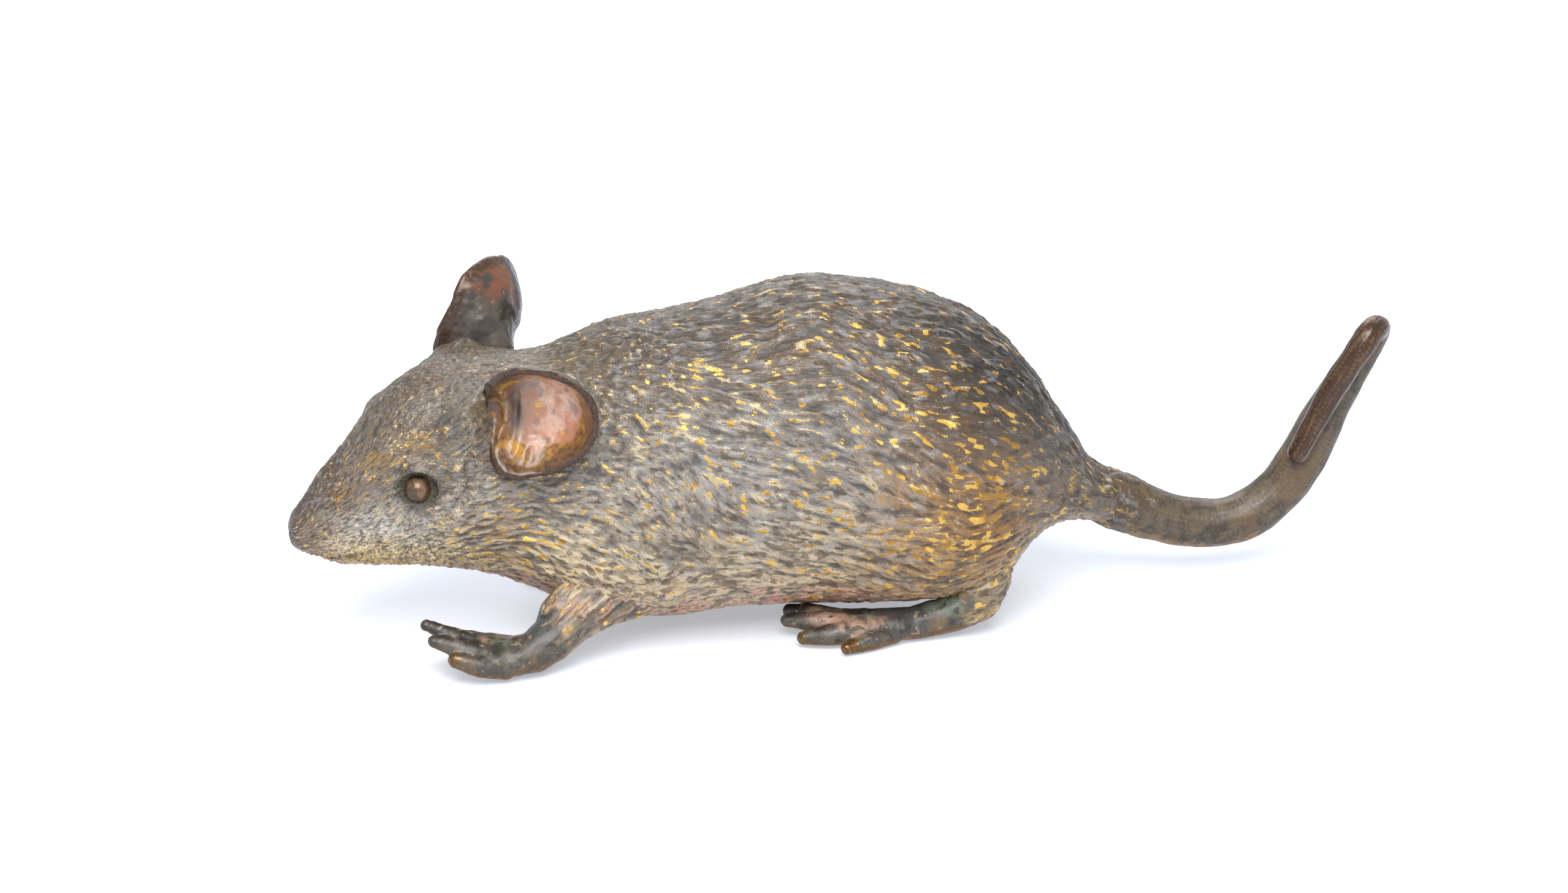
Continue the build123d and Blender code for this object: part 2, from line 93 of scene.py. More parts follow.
def read_curve(pairs, place):
    """A smooth curve through given pairs, read at many places."""
    root, value = np.sqrt([pair[0] for pair in pairs]), np.array([pair[1] for pair in pairs])
    here = np.sqrt(place)
    step = np.clip(np.searchsorted(root, here) - 1, 0, len(pairs) - 2)
    index = np.arange(len(pairs))
    low, high = np.maximum(index - 1, 0), np.minimum(index + 1, len(pairs) - 1)
    slope = (value[high] - value[low]) / (root[high] - root[low])
    span = root[step + 1] - root[step]
    return bend((here - root[step]) / span, span, value, slope, step)


def mound(one, two, one_place, two_place, one_spread, two_spread):
    """1 at a place in two measures, and softly down to 0 away from it."""
    return np.exp(-(((one - one_place) / one_spread) ** 2) - ((two - two_place) / two_spread) ** 2)


def straight_skin(station, angle):
    """Points of the bare skin with the head held straight, behind the nose."""
    middle = read_curve(middle_shares, station) * back_height
    half = read_curve(width_shares, station) * body_half_width
    up = read_curve(top_shares, station) * back_height - middle
    down = middle - read_curve(bottom_shares, station) * back_height
    c, s = np.cos(angle), np.sin(angle)
    y = half * np.sign(c) * np.abs(c) ** upper_fullness
    z = np.where(s > 0, up * np.abs(s) ** upper_fullness, -down * np.abs(s) ** lower_fullness)
    side_angle = np.degrees(np.arcsin(np.clip(s, -1, 1)))
    lift = np.zeros(len(station))
    for *where, height in flank_swells:
        lift += height * mound(station, side_angle, *where)
    grow = 1 + lift / np.maximum(np.hypot(y, z), 0.2)
    return np.stack([station * body_length, y * grow, middle + z * grow], -1)


def posed(place, station):
    """Places of the straight body carried to the posed one, whose head turns left and tips."""
    ahead = np.clip(1 - station / neck_station, 0, 1)
    turned = np.clip(ahead / head_roll_length, 0, 1)
    turn = np.radians(head_roll * turned**2 * (3 - 2 * turned))
    pivot = read_curve(middle_shares, station) * back_height
    y, rise = place[:, 1], place[:, 2] - pivot
    return np.stack(
        [
            place[:, 0] + nose_x,
            y * np.cos(turn) - rise * np.sin(turn) - head_turn * ahead**1.5,
            pivot + y * np.sin(turn) + rise * np.cos(turn),
        ],
        -1,
    )


def swellings(places, lumps):
    """How far a row of swellings and hollows, alike on both sides, lifts each place."""
    lift = np.zeros(len(places))
    for x, y, z, along, across, up, height in lumps:
        away = ((places[:, 0] - x) / along) ** 2 + ((np.abs(places[:, 1]) - y) / across) ** 2
        lift += height * np.exp(-away - ((places[:, 2] - z) / up) ** 2)
    return lift


def furrow(places, line, width, depth):
    """A groove cut along a line that is drawn in the side view, on both sides."""
    near = np.full(len(places), 1e6)
    flat = places[:, [0, 2]]
    for start, end in zip(line, line[1:]):
        start, way = np.array(start), np.array(end) - np.array(start)
        t = np.clip(((flat - start) @ way) / (way @ way), 0, 1)
        near = np.minimum(near, np.linalg.norm(flat - start - t[:, None] * way, axis=1))
    return -depth * np.exp(-((near / width) ** 2))


grain_cells = 64
grains = np.random.default_rng(19).random((grain_cells, grain_cells, grain_cells)).astype(np.float32)


def haze(places):
    """Soft random values at many places, read from a block of random grains."""
    cell = np.floor(places)
    t = places - cell
    t = t * t * (3 - 2 * t)
    i, j, k = (cell.astype(np.int64) % grain_cells).T
    total = np.zeros(len(places))
    for a, b, c in itertools.product((0, 1), repeat=3):
        weight = np.abs(1 - a - t[:, 0]) * np.abs(1 - b - t[:, 1]) * np.abs(1 - c - t[:, 2])
        total += weight * grains[(i + a) % grain_cells, (j + b) % grain_cells, (k + c) % grain_cells]
    return total


def strokes(places, lay, width, length, start):
    """Random values of unit spread, drawn out along the lay of the fur."""
    steps = max(3, round(length / width * 0.9))
    total = np.zeros(len(places))
    for k in range(steps):
        total += haze((places + lay * ((k + 0.5) / steps - 0.5) * length) / width + start)
    return (total - total.mean()) / total.std()


def blotches(places, size, start):
    """Soft random patches of unit spread."""
    total = haze(places / size + start)
    return (total - total.mean()) / total.std()


def unit(ways):
    """Ways of length one."""
    return ways / np.maximum(np.linalg.norm(ways, axis=1), 1e-9)[:, None]


def placed(bm, places):
    """Moves every vertex to its place and works the normals out again."""
    for vertex, place in zip(bm.verts, places.tolist()):
        vertex.co = place
    bm.normal_update()


def places_of(bm):
    return np.array([vertex.co[:] for vertex in bm.verts])


def normals_of(bm):
    return np.array([vertex.normal[:] for vertex in bm.verts])


def keep(bm, name, values):
    """Keeps a colour or a way with each vertex."""
    layers = bm.verts.layers.float_color if values.shape[1] == 4 else bm.verts.layers.float_vector
    layer = layers.new(name)
    for vertex, value in zip(bm.verts, values.tolist()):
        vertex[layer] = value


def pigment(red, green, blue):
    """A paint as the eye sees it, from 0 to 255, as the share of light that it sends back."""
    seen = np.array([red, green, blue]) / 255
    return np.where(seen <= 0.04045, seen / 12.92, ((seen + 0.055) / 1.055) ** 2.4)


def brush(coat, cover, colour):
    """Lays one paint over a coat, as far as its cover says."""
    coat += cover[:, None] * (pigment(*colour) - coat)


def rolled_ball(facets, rings):
    """A sheet rolled up and closed into a ball, and the places of its vertices."""
    bm = bmesh.new()
    bmesh.ops.create_grid(bm, x_segments=facets, y_segments=rings, size=1)
    sheet = places_of(bm)
    turn, tilt = sheet[:, 0] * math.pi, (1 - sheet[:, 1]) / 2 * math.pi
    placed(bm, np.stack([np.cos(turn) * np.sin(tilt), np.sin(turn) * np.sin(tilt), np.cos(tilt)], -1))
    bmesh.ops.remove_doubles(bm, verts=[vertex for vertex in bm.verts if vertex.is_boundary], dist=1e-5)
    return bm, places_of(bm)


body, ball = rolled_ball(skin_facets, skin_rings)
ring = 1 - np.arccos(np.clip(ball[:, 2], -1, 1)) / math.pi
angle = np.arctan2(ball[:, 1], ball[:, 0])
station = np.interp(ring, *zip(*ring_shares))
from_top = np.degrees(np.arccos(np.clip(np.sin(angle), -1, 1)))
bare = straight_skin(station, angle)

# Forms that the outline tables leave out, from the nose to the haunch: lids, brow, cheek,
# whisker pad, the foot of the ear, then chest, flank and haunch. Each has its place on the
# straight body, its spreads along, across and up, and its height.
face_lumps = (
    (7.4, 3.8, 20.2, 1.5, 1.3, 1.2, 0.30), (9.5, 4.3, 22.0, 1.7, 1.6, 1.3, 0.80),
    (13.4, 5.6, 23.4, 2.8, 1.5, 1.2, 0.55), (11.8, 6.9, 21.5, 2.0, 0.9, 0.55, 0.42),
    (9.0, 5.6, 20.6, 1.0, 1.0, 0.8, -0.30), (8.0, 5.6, 18.2, 1.5, 1.4, 1.5, -0.40),
    (12.0, 7.3, 16.9, 2.2, 1.4, 0.7, -0.24), (14.6, 8.0, 19.0, 1.1, 1.2, 1.6, -0.25),
    (5.0, 3.6, 13.4, 2.8, 1.8, 1.5, 0.50), (9.5, 5.6, 14.0, 2.4, 1.8, 1.4, 0.30),
    (2.1, 0.0, 9.9, 0.7, 1.6, 0.45, -0.55), (1.2, 0.0, 10.6, 0.9, 1.6, 0.6, 0.25),
    (5.0, 0.0, 9.0, 2.4, 2.2, 0.9, 0.30), (2.5, 0.0, 15.2, 0.55, 2.4, 1.2, -0.16),
    (0.9, 1.15, 12.6, 0.5, 0.36, 0.4, -0.45), (0.6, 0.0, 11.4, 0.7, 0.28, 1.1, -0.22),
    (17.0, 7.8, 14.5, 3.2, 2.4, 3.0, 0.35), (16.3, 8.3, 23.6, 1.7, 1.6, 2.2, 0.80),
    (15.4, 8.4, 21.0, 1.3, 1.4, 1.2, 0.45), (18.5, 9.0, 19.0, 2.2, 1.6, 1.2, 0.40),
    (14.4, 6.0, 24.2, 1.4, 1.0, 1.0, 0.70), (16.2, 5.8, 25.4, 1.5, 1.2, 1.3, 1.50),
    (17.9, 4.9, 26.6, 1.5, 1.2, 1.5, 1.20), (17.3, 7.0, 24.6, 1.3, 1.2, 1.5, 1.10),
)
body_lumps = (
    (24.0, 0.0, 28.0, 2.4, 5.0, 3.0, -0.5), (31.0, 2.0, 30.0, 3.6, 6.0, 3.0, 0.6),
    (28.6, 10.2, 7.0, 4.8, 3.8, 4.0, 1.5), (25.5, 9.6, 10.0, 3.2, 3.0, 2.6, 0.4),
    (33.5, 8.0, 22.0, 5.5, 5.0, 4.0, 0.35), (41.0, 12.5, 12.0, 4.5, 4.0, 5.0, -0.25),
    (50.5, 13.5, 9.0, 3.0, 3.6, 5.0, -0.35), (65.5, 9.4, 6.0, 3.6, 3.4, 2.8, 1.0),
)
# The mouth, the fold of the jaw and the crease before the ear, each as a line in the side view
# with its width, its depth and the station where it ends
furrows = (
    (((1.7, 9.9), (3.2, 10.3), (5.4, 11.1), (8.3, 12.6)), 0.24, 0.40, 0.14),
    (((6.5, 10.4), (10.5, 11.4)), 0.2, 0.22, 0.16),
    (((15.2, 17.6), (16.4, 19.6), (16.6, 22.4)), 0.32, 0.5, 0.25),
)
eye_place, lid_radius = np.array([11.76, 7.5, 19.5]), 1.68
lid_height, lid_spread, lid_crease, crease_out = 0.50, 0.36, 0.16, 0.78
socket_radius, socket_depth = 1.32, 0.95
placed(body, bare)
lift = swellings(bare, face_lumps) + swellings(bare, body_lumps)
for line, width, cut, end in furrows:
    lift += furrow(bare, line, width, cut) * (station < end)
either_side = bare * (1, 0, 1) + np.abs(bare) * (0, 1, 0)
to_eye = np.linalg.norm((either_side - eye_place) * (0.84, 1, 1.14), axis=1)
lid_rise = np.exp(-(((to_eye - lid_radius) / lid_spread) ** 2))
lift += lid_height * lid_rise - socket_depth * np.exp(-((to_eye / socket_radius) ** 4))
lift -= lid_crease * np.exp(-(((to_eye - lid_radius - crease_out) / 0.30) ** 2))
bare = bare + normals_of(body) * lift[:, None]
smooth = posed(bare, station)
placed(body, smooth)

# The lay of the fur: back along the body, and down across the flank
lay_slope = 27.0
lay_stations = (
    (0.0, 0.0), (0.15, 0.1), (0.30, 0.45), (0.40, 0.95), (0.55, 1.0), (0.68, 0.8), (0.8, 0.2),
    (0.92, -0.4), (1.0, 0.0),
)
lay_round = ((0, 0.0), (20, 0.3), (50, 0.9), (85, 1.0), (115, 0.45), (150, 0.0), (180, 0.0))
next_station = np.clip(station + 0.004, 0, 1)
further = posed(straight_skin(next_station, angle), next_station)
here = posed(straight_skin(station, angle), station)
lower = posed(straight_skin(station, angle - 0.02 * np.sign(np.cos(angle))), station)
tilt = np.radians(lay_slope * np.interp(station, *zip(*lay_stations)) * np.interp(from_top, *zip(*lay_round)))
astray = np.interp(station, (0.0, 0.2, 0.4), (0.35, 0.5, 1.0))
tilt += astray * (np.radians(10) * blotches(smooth, 3.0, 11.3) + np.radians(7) * blotches(smooth, 1.1, 4.1))
lay = unit(unit(further - here) * np.cos(tilt)[:, None] + unit(lower - here) * np.sin(tilt)[:, None])

# How deep the strokes are cut: shallow on the crown, the nose and the lids. Near the tail and
# the heels they turn to punched stipple, and round the belly plug the skin is filed level.
depth_places = (
    (0.0, 60, 0.03, 200, -0.8), (0.147, 68, 0.022, 16, -0.8), (0.19, 20, 0.11, 50, -0.55),
    (0.08, 40, 0.06, 40, -0.35), (0.32, 25, 0.08, 40, -0.35), (0.06, 110, 0.04, 30, -0.35),
    (0.22, 70, 0.05, 30, -0.2),
)
tuft_depth, stroke_depth, hair_depth, knock_depth = 0.05, 0.11, 0.035, 0.02
least_depth, chase_sink, plug_step, tail_end_sink, level_radius = 0.22, 0.26, 0.42, 0.25, 6.5


def over_body(start, places, least=0.0):
    """A value at each vertex of the body: a start, and changes about stations and degrees."""
    value = np.full(len(station), start)
    for *where, change in places:
        value += change * mound(station, from_top, *where)
    return np.clip(value, least, 1)


depth = over_body(1.0, depth_places, least_depth)
fineness = np.interp(station, (0.0, 0.12, 0.3, 0.45), (0.46, 0.52, 0.76, 1.0))
fineness += 0.28 * mound(station, from_top, 0.20, 112, 0.12, 38)
scaled = smooth / fineness[:, None]
tufts = strokes(scaled, lay, 0.60, 2.1, 7.7)
chased = strokes(scaled, lay, 0.33, 1.5, 31.9)
hairs = strokes(scaled, lay, 0.19, 0.9, 53.3)
knocks = blotches(smooth, 0.8, 41.7)
stipple = blotches(smooth, 0.30, 17.7)
stippled = np.clip((station - 0.84) / 0.08, 0, 1) * np.clip((from_top - 50) / 40, 0, 1) * 0.75
carved = np.tanh(1.1 * chased) * (1 - stippled) + np.tanh(stipple) * stippled
relief = tuft_depth * tufts + stroke_depth * carved + hair_depth * hairs + knock_depth * knocks
to_plug = np.hypot(smooth[:, 0] - plug_station * body_length - nose_x, smooth[:, 1]) + 40 * (smooth[:, 2] > 8)
level = np.exp(-((to_plug / level_radius) ** 6))
tail_end = np.clip((station - 0.95) / 0.05, 0, 1)
sink = chase_sink * (1 - level) + plug_step * (to_plug < plug_radius) + tail_end_sink * tail_end
relief = relief * depth * (1 - 0.8 * level) * (1 - 0.6 * tail_end)
furred = smooth + normals_of(body) * (relief - sink)[:, None]
placed(body, furred)

# Paint: dark brown along the back, grey flanks, cream below and pink under the belly, with
# patches about stations along the body and degrees round from the top of the back
coat_rounds = (0, 28, 52, 80, 108, 128, 148, 180)
coat_colours = (
    (60, 50, 41), (66, 54, 43), (92, 78, 62), (140, 130, 118), (158, 144, 122), (208, 182, 150),
    (214, 174, 148), (172, 128, 110),
)
coat_channels = zip(*[pigment(*colour) for colour in coat_colours])
coat = np.stack([np.interp(from_top, coat_rounds, channel) for channel in coat_channels], -1)
coat_patches = (
    (0.30, 30, 0.09, 42, 0.75, (98, 88, 68)), (0.20, 35, 0.08, 40, 0.8, (110, 102, 90)),
    (0.08, 35, 0.06, 45, 0.8, (106, 94, 82)), (0.0, 90, 0.022, 200, 0.9, (80, 62, 56)),
    (0.05, 122, 0.045, 20, 0.9, (104, 72, 46)), (0.085, 96, 0.035, 12, 0.7, (142, 142, 142)),
    (0.14, 96, 0.05, 20, 0.5, (122, 118, 112)), (0.165, 68, 0.02, 14, 0.5, (92, 66, 48)),
    (0.15, 128, 0.09, 20, 0.7, (206, 176, 130)), (0.17, 152, 0.10, 25, 0.7, (182, 144, 122)),
    (0.36, 126, 0.08, 22, 0.75, (168, 152, 122)), (0.56, 132, 0.14, 13, 0.6, (166, 146, 112)),
    (0.58, 40, 0.04, 14, 0.6, (92, 62, 40)), (0.66, 52, 0.03, 10, 0.5, (96, 64, 40)),
    (0.70, 88, 0.03, 9, 0.6, (110, 72, 40)), (0.44, 100, 0.07, 14, 0.4, (128, 110, 84)),
    (0.54, 96, 0.03, 14, 0.4, (146, 144, 140)), (0.24, 100, 0.03, 14, 0.7, (112, 84, 52)),
    (0.30, 84, 0.03, 12, 0.5, (100, 80, 56)), (0.36, 150, 0.08, 20, 0.6, (190, 152, 130)),
    (0.50, 72, 0.11, 26, 0.4, (124, 120, 116)), (0.62, 46, 0.08, 28, 0.75, (76, 60, 42)),
    (0.66, 66, 0.06, 22, 0.5, (118, 112, 102)), (0.79, 102, 0.10, 34, 1.0, (124, 80, 18)),
    (0.74, 124, 0.09, 20, 0.8, (148, 108, 54)), (0.71, 108, 0.05, 20, 0.7, (132, 94, 42)),
    (0.76, 60, 0.06, 20, 0.7, (80, 56, 38)), (0.62, 104, 0.10, 16, 0.4, (176, 158, 130)),
    # The first patch below, near black over the top of the rump, is dark paint deepened with painted shade
    (0.86, 32, 0.13, 50, 1.0, (10, 7, 5)), (0.92, 96, 0.05, 60, 0.8, (84, 68, 48)),
    (0.99, 90, 0.03, 200, 0.8, (74, 62, 46)),
)
for *where, cover, colour in coat_patches:
    brush(coat, cover * mound(station, from_top, *where), colour)

# Paints, gilding, cream and rose about places on the straight body, as the forms above are set
face_paints = (
    (5.4, 3.4, 17.4, 2.4, 1.6, 1.1, 0.9, (92, 64, 36)), (5.2, 3.0, 14.2, 2.4, 1.6, 0.8, 0.8, (88, 66, 46)),
    (2.4, 2.6, 12.4, 1.9, 1.6, 1.3, 0.8, (98, 68, 44)), (8.4, 4.4, 21.2, 3.0, 1.2, 1.0, 0.55, (146, 112, 58)),
    (12.8, 6.0, 23.6, 2.6, 1.4, 0.9, 0.5, (146, 116, 62)),
    (15.6, 6.2, 24.8, 2.6, 1.5, 1.6, 0.9, (54, 49, 46)),
    (17.6, 8.2, 18.6, 2.6, 1.6, 1.6, 0.6, (150, 144, 134)),
    (9.5, 6.6, 15.0, 4.8, 2.6, 2.0, 0.8, (174, 169, 160)), (17.5, 8.4, 15.4, 3.0, 2.4, 1.2, 0.5, (118, 92, 58)),
    (10.0, 5.4, 12.2, 6.5, 2.8, 1.8, 0.95, (246, 216, 164)),
    (9.0, 4.0, 9.4, 6.0, 3.0, 1.2, 0.8, (214, 184, 150)), (13.0, 7.4, 17.2, 1.8, 1.4, 0.7, 0.7, (88, 66, 46)),
    (13.8, 6.6, 21.4, 1.8, 1.4, 0.7, 0.7, (84, 60, 44)), (4.0, 0.0, 17.6, 4.0, 1.7, 2.4, 0.8, (70, 58, 50)),
    (1.0, 0.0, 12.2, 1.3, 2.2, 2.8, 0.95, (66, 46, 40)),
)
face_gilt = (
    (5.4, 3.4, 17.4, 2.0, 1.5, 1.0, 0.45), (9.0, 4.4, 21.6, 2.8, 1.2, 0.8, 1.0),
    (13.0, 6.0, 23.7, 2.8, 1.2, 0.8, 0.95), (16.3, 6.4, 24.9, 1.3, 0.5, 0.7, 1.5),
    (9.0, 5.2, 11.0, 5.0, 2.4, 0.8, 0.45), (15.0, 8.0, 15.5, 3.0, 2.0, 0.9, 0.3),
)
chest_paints = (
    (26.0, 9.0, 7.5, 6.0, 4.5, 3.2, 0.8, (176, 158, 130)),
    (30.0, 9.5, 3.5, 5.0, 4.5, 2.4, 0.8, (188, 156, 130)),
    (41.0, 11.0, 4.5, 8.0, 6.0, 1.8, 0.7, (196, 154, 132)),
    (22.0, 6.5, 6.0, 5.0, 4.5, 2.5, 0.8, (190, 160, 136)),
)
chest_rosy = (
    (24.0, 8.0, 6.0, 6.0, 4.5, 2.6, 0.55), (42.0, 11.0, 3.8, 8.0, 6.0, 1.8, 0.6),
    (30.0, 9.5, 4.0, 4.0, 4.0, 2.5, 0.4),
)
chest_cream = ((27.0, 9.0, 7.0, 7.0, 4.5, 4.0, 0.45), (9.0, 5.0, 11.0, 6.0, 4.0, 2.0, 0.3))
for *lump, colour in (*face_paints, *chest_paints):
    brush(coat, np.clip(swellings(bare, (lump,)), 0, 1), colour)

# How much of the rubbed bronze and of three paints lies where, about stations and degrees
gilt = over_body(0.35, (
    (0.50, 60, 0.16, 26, 0.06), (0.66, 45, 0.08, 24, 0.14), (0.80, 98, 0.10, 42, 0.56),
    (0.12, 60, 0.06, 18, 0.30), (0.11, 126, 0.05, 10, 0.50), (0.25, 105, 0.07, 24, 0.36),
    (0.55, 0, 0.5, 24, -0.20), (0.20, 25, 0.10, 38, -0.20), (0.0, 90, 0.03, 200, -0.3),
    (0.90, 40, 0.08, 36, -0.14), (0.36, 62, 0.08, 40, -0.08),
))
cream = over_body(0.20, (
    (0.40, 125, 0.22, 24, 0.55), (0.20, 115, 0.10, 22, 0.45), (0.44, 75, 0.16, 30, 0.16),
    (0.56, 82, 0.06, 22, 0.2), (0.15, 95, 0.08, 30, 0.35), (0.10, 124, 0.07, 16, 0.5),
    (0.46, 138, 0.2, 16, 0.4), (0.86, 60, 0.12, 80, -0.20), (0.05, 50, 0.06, 60, -0.15),
    (0.6, 0, 0.5, 30, -0.12),
))
rosy = over_body(0.0, (
    (0.55, 148, 0.16, 16, 0.85), (0.30, 146, 0.08, 18, 0.8), (0.20, 150, 0.08, 22, 0.7),
    (0.42, 138, 0.08, 12, 0.5), (0.6, 180, 0.3, 22, 0.5),
))
slate = over_body(0.45, (
    (0.48, 82, 0.16, 34, 0.35), (0.32, 112, 0.10, 26, 0.30), (0.68, 92, 0.08, 40, 0.25),
    (0.15, 92, 0.08, 24, 0.2), (0.80, 105, 0.10, 36, -0.55), (0.25, 20, 0.14, 40, -0.35),
    (0.76, 60, 0.06, 24, -0.3), (0.5, 160, 0.5, 24, -0.30), (0.86, 40, 0.12, 50, -0.4),
    (0.5, 20, 0.4, 36, -0.2),
))
gilt = np.clip(gilt + swellings(bare, face_gilt), 0, 1)
rosy = np.clip(rosy + swellings(bare, chest_rosy), 0, 1)
cream = np.clip(cream + swellings(bare, chest_cream), 0, 1)
slate = np.clip(slate - swellings(bare, chest_cream), 0, 1)
lid = np.exp(-(((to_eye - lid_radius + 0.10) / 0.55) ** 2))
brush(coat, 0.9 * lid, (62, 68, 57))
gilt, cream, slate = gilt * (1 - lid), cream * (1 - lid), slate * (1 - lid)


def keep_fur(bm, places, lay, ridge, coat, gilt, cream, rosy, slate):
    """Keeps with each vertex what the fur's paint follows."""
    slugs = strokes(places, lay, 0.38, 1.3, 71.9)
    flecks = strokes(places, lay, 0.26, 0.85, 87.3)
    drift = strokes(places, lay, 0.66, 2.0, 97.1)
    keep(bm, "coat", np.hstack([coat, gilt[:, None]]))
    keep(bm, "marks", 0.5 + 0.2 * np.stack([ridge, slugs, flecks, drift], -1))
    keep(bm, "paints", np.stack([cream, rosy, slate, np.ones(len(cream))], -1))
    keep(bm, "lay", lay)


keep_fur(body, scaled, lay, carved + 0.45 * tufts, coat, gilt, cream, rosy, slate)
keep(body, "facing", normals_of(body))
neck_way = Vector((math.cos(math.radians(neck_lean)), 0, -math.sin(math.radians(neck_lean))))
neck_height = float(read_curve(middle_shares, np.array([neck_station]))[0]) * back_height
neck_middle = Vector((neck_station * body_length + nose_x, 0, neck_height))
bmesh.ops.bisect_plane(
    body, geom=body.verts[:] + body.edges[:] + body.faces[:], plane_co=neck_middle, plane_no=neck_way
)


def add(tree, kind, inputs=(), **settings):
    """One step of a finish with its settings, whose inputs are set or joined by place."""
    made = tree.nodes.new(kind)
    for name, value in settings.items():
        setattr(made, name, value)
    for place, value in dict(inputs).items():
        if isinstance(value, bpy.types.NodeSocket):
            tree.links.new(value, made.inputs[place])
        else:
            made.inputs[place].default_value = value
    return made


def weighed(tree, value, weight, rest=0.0):
    """A value times its weight, on top of the rest."""
    return add(tree, "ShaderNodeMath", {0: value, 1: weight, 2: rest}, operation="MULTIPLY_ADD").outputs[0]


def rise_of(tree, value, low, high, least=0.0, most=1.0, climb="SMOOTHSTEP"):
    """A value's climb from low to high, soft at both ends where nothing else is said."""
    inputs = {0: value, 1: low, 2: high, 3: least, 4: most}
    return add(tree, "ShaderNodeMapRange", inputs, interpolation_type=climb).outputs[0]


def shade_of(colour):
    """A plain paint made ready for a finish. Any other colour stays as it is."""
    plain = isinstance(colour, tuple) and len(colour) == 3
    return (*pigment(*colour).tolist(), 1.0) if plain else colour


def over(tree, cover, under_colour, colour, blend="MIX"):
    """One colour laid over another."""
    inputs = {0: cover, 6: shade_of(under_colour), 7: shade_of(colour)}
    return add(tree, "ShaderNodeMix", inputs, data_type="RGBA", blend_type=blend).outputs[2]


def glazed(tree, under_colour, value, low, high, colour, most=1.0):
    """One colour under another, which lies where a value climbs from low to high."""
    return over(tree, rise_of(tree, value, low, high, 0.0, most), under_colour, colour)


def bumped(tree, strength, depth, height):
    """The fine relief of a height, with its depth in millimetres."""
    inputs = {"Strength": strength, "Distance": depth * mm, "Height": height}
    return add(tree, "ShaderNodeBump", inputs).outputs[0]


def kept_by(tree, name):
    """What each vertex keeps under a name."""
    return add(tree, "ShaderNodeAttribute", attribute_name=name).outputs


def marks_of(tree, name):
    """The four values that each vertex keeps under a name."""
    kept = kept_by(tree, name)
    return (*add(tree, "ShaderNodeSeparateColor", {0: kept["Color"]}).outputs, kept["Alpha"])


def specks_of(tree, size, detail=2.0, rough=0.5, place=None):
    """Fine random grain of a size in millimetres."""
    where = place or add(tree, "ShaderNodeTexCoord").outputs["Object"]
    inputs = {0: where, "Scale": 1 / (size * mm), "Detail": detail, "Roughness": rough}
    return add(tree, "ShaderNodeTexNoise", inputs).outputs[0]


def bare_tree(name):
    """A new finish with nothing laid on it yet."""
    finish = bpy.data.materials.new(name)
    finish.use_nodes = True
    tree = finish.node_tree
    tree.nodes.clear()
    shader = add(tree, "ShaderNodeBsdfPrincipled")
    add(tree, "ShaderNodeOutputMaterial", {0: shader.outputs[0]})
    return finish, tree, shader


def join_all(tree, shader, **sockets):
    """Joins what the steps of a finish give to the finish itself."""
    for name, socket in sockets.items():
        tree.links.new(socket, shader.inputs[name.replace("_", " ")])


def drawn_grain(tree, size, length, way):
    """Fine random grain drawn out along a way."""
    where = add(tree, "ShaderNodeTexCoord").outputs["Object"]
    total, pieces = 0.0, 5
    for k in range(pieces):
        share = {0: way, "Scale": (k - pieces // 2) * length * mm / pieces}
        step = add(tree, "ShaderNodeVectorMath", share, operation="SCALE").outputs[0]
        moved = add(tree, "ShaderNodeVectorMath", {0: where, 1: step}, operation="ADD").outputs[0]
        total = weighed(tree, specks_of(tree, size, 0.0, 0.5, moved), 1 / pieces, total)
    return rise_of(tree, total, 0.36, 0.64)


def fur_layers(tree):
    """The paints and the rubbed bronze of the fur: colour, bronze, roughness and fine relief."""
    coat, lay = kept_by(tree, "coat"), kept_by(tree, "lay")["Vector"]
    ridge, slug, fleck, drift = marks_of(tree, "marks")
    cream, rosy, slate, _ = marks_of(tree, "paints")
    grain, coarse = specks_of(tree, 0.16, 3.0, 0.6), specks_of(tree, 2.0, 3.0, 0.6)
    hair = drawn_grain(tree, 0.11, 0.8, lay)
    crest = weighed(tree, hair, 0.16, weighed(tree, grain, 0.22, ridge))
    tone = rise_of(tree, weighed(tree, hair, 0.5, grain), 0.45, 1.05, 0.74, 1.26, "LINEAR")
    colour = over(tree, 1.0, coat["Color"], tone, "MULTIPLY")
    colour = glazed(tree, colour, coarse, 0.48, 0.64, (92, 66, 38), 0.5)
    cover = weighed(tree, rosy, rise_of(tree, weighed(tree, crest, 0.3, drift), 0.52, 0.74))
    colour = over(tree, cover, colour, (206, 146, 128))
    grey = glazed(tree, (88, 87, 89), drift, 0.3, 0.7, (126, 126, 129))
    grey = over(tree, 0.4, grey, coat["Color"])
    level = weighed(tree, slate, 0.34, weighed(tree, grain, 0.12, slug))
    colour = glazed(tree, colour, level, 0.72, 0.82, grey, 0.75)
    level = weighed(tree, cream, 0.36, weighed(tree, drift, 0.25, crest))
    colour = glazed(tree, colour, level, 1.12, 1.24, (172, 158, 128), 0.75)
    level = weighed(tree, fleck, -1.0, weighed(tree, cream, 0.25))
    colour = glazed(tree, colour, level, -0.24, -0.14, (74, 58, 34), 0.7)
    hollow = rise_of(tree, crest, 0.40, 0.72, 0.8, 0.0)
    cover = weighed(tree, hollow, rise_of(tree, cream, 0.0, 1.0, 1.0, 0.45))
    colour = over(tree, cover, colour, (44, 39, 34))
    level = weighed(tree, coat["Alpha"], 0.30, weighed(tree, crest, 0.45, fleck))
    bronze = rise_of(tree, level, 1.17, 1.25)
    gold = glazed(tree, (148, 110, 46), coarse, 0.42, 0.58, (200, 160, 76))
    colour = over(tree, bronze, colour, gold)
    relief = weighed(tree, hair, 0.7, weighed(tree, grain, 0.5))
    return colour, bronze, rise_of(tree, crest, 0.45, 0.95, 0.46, 0.20), relief


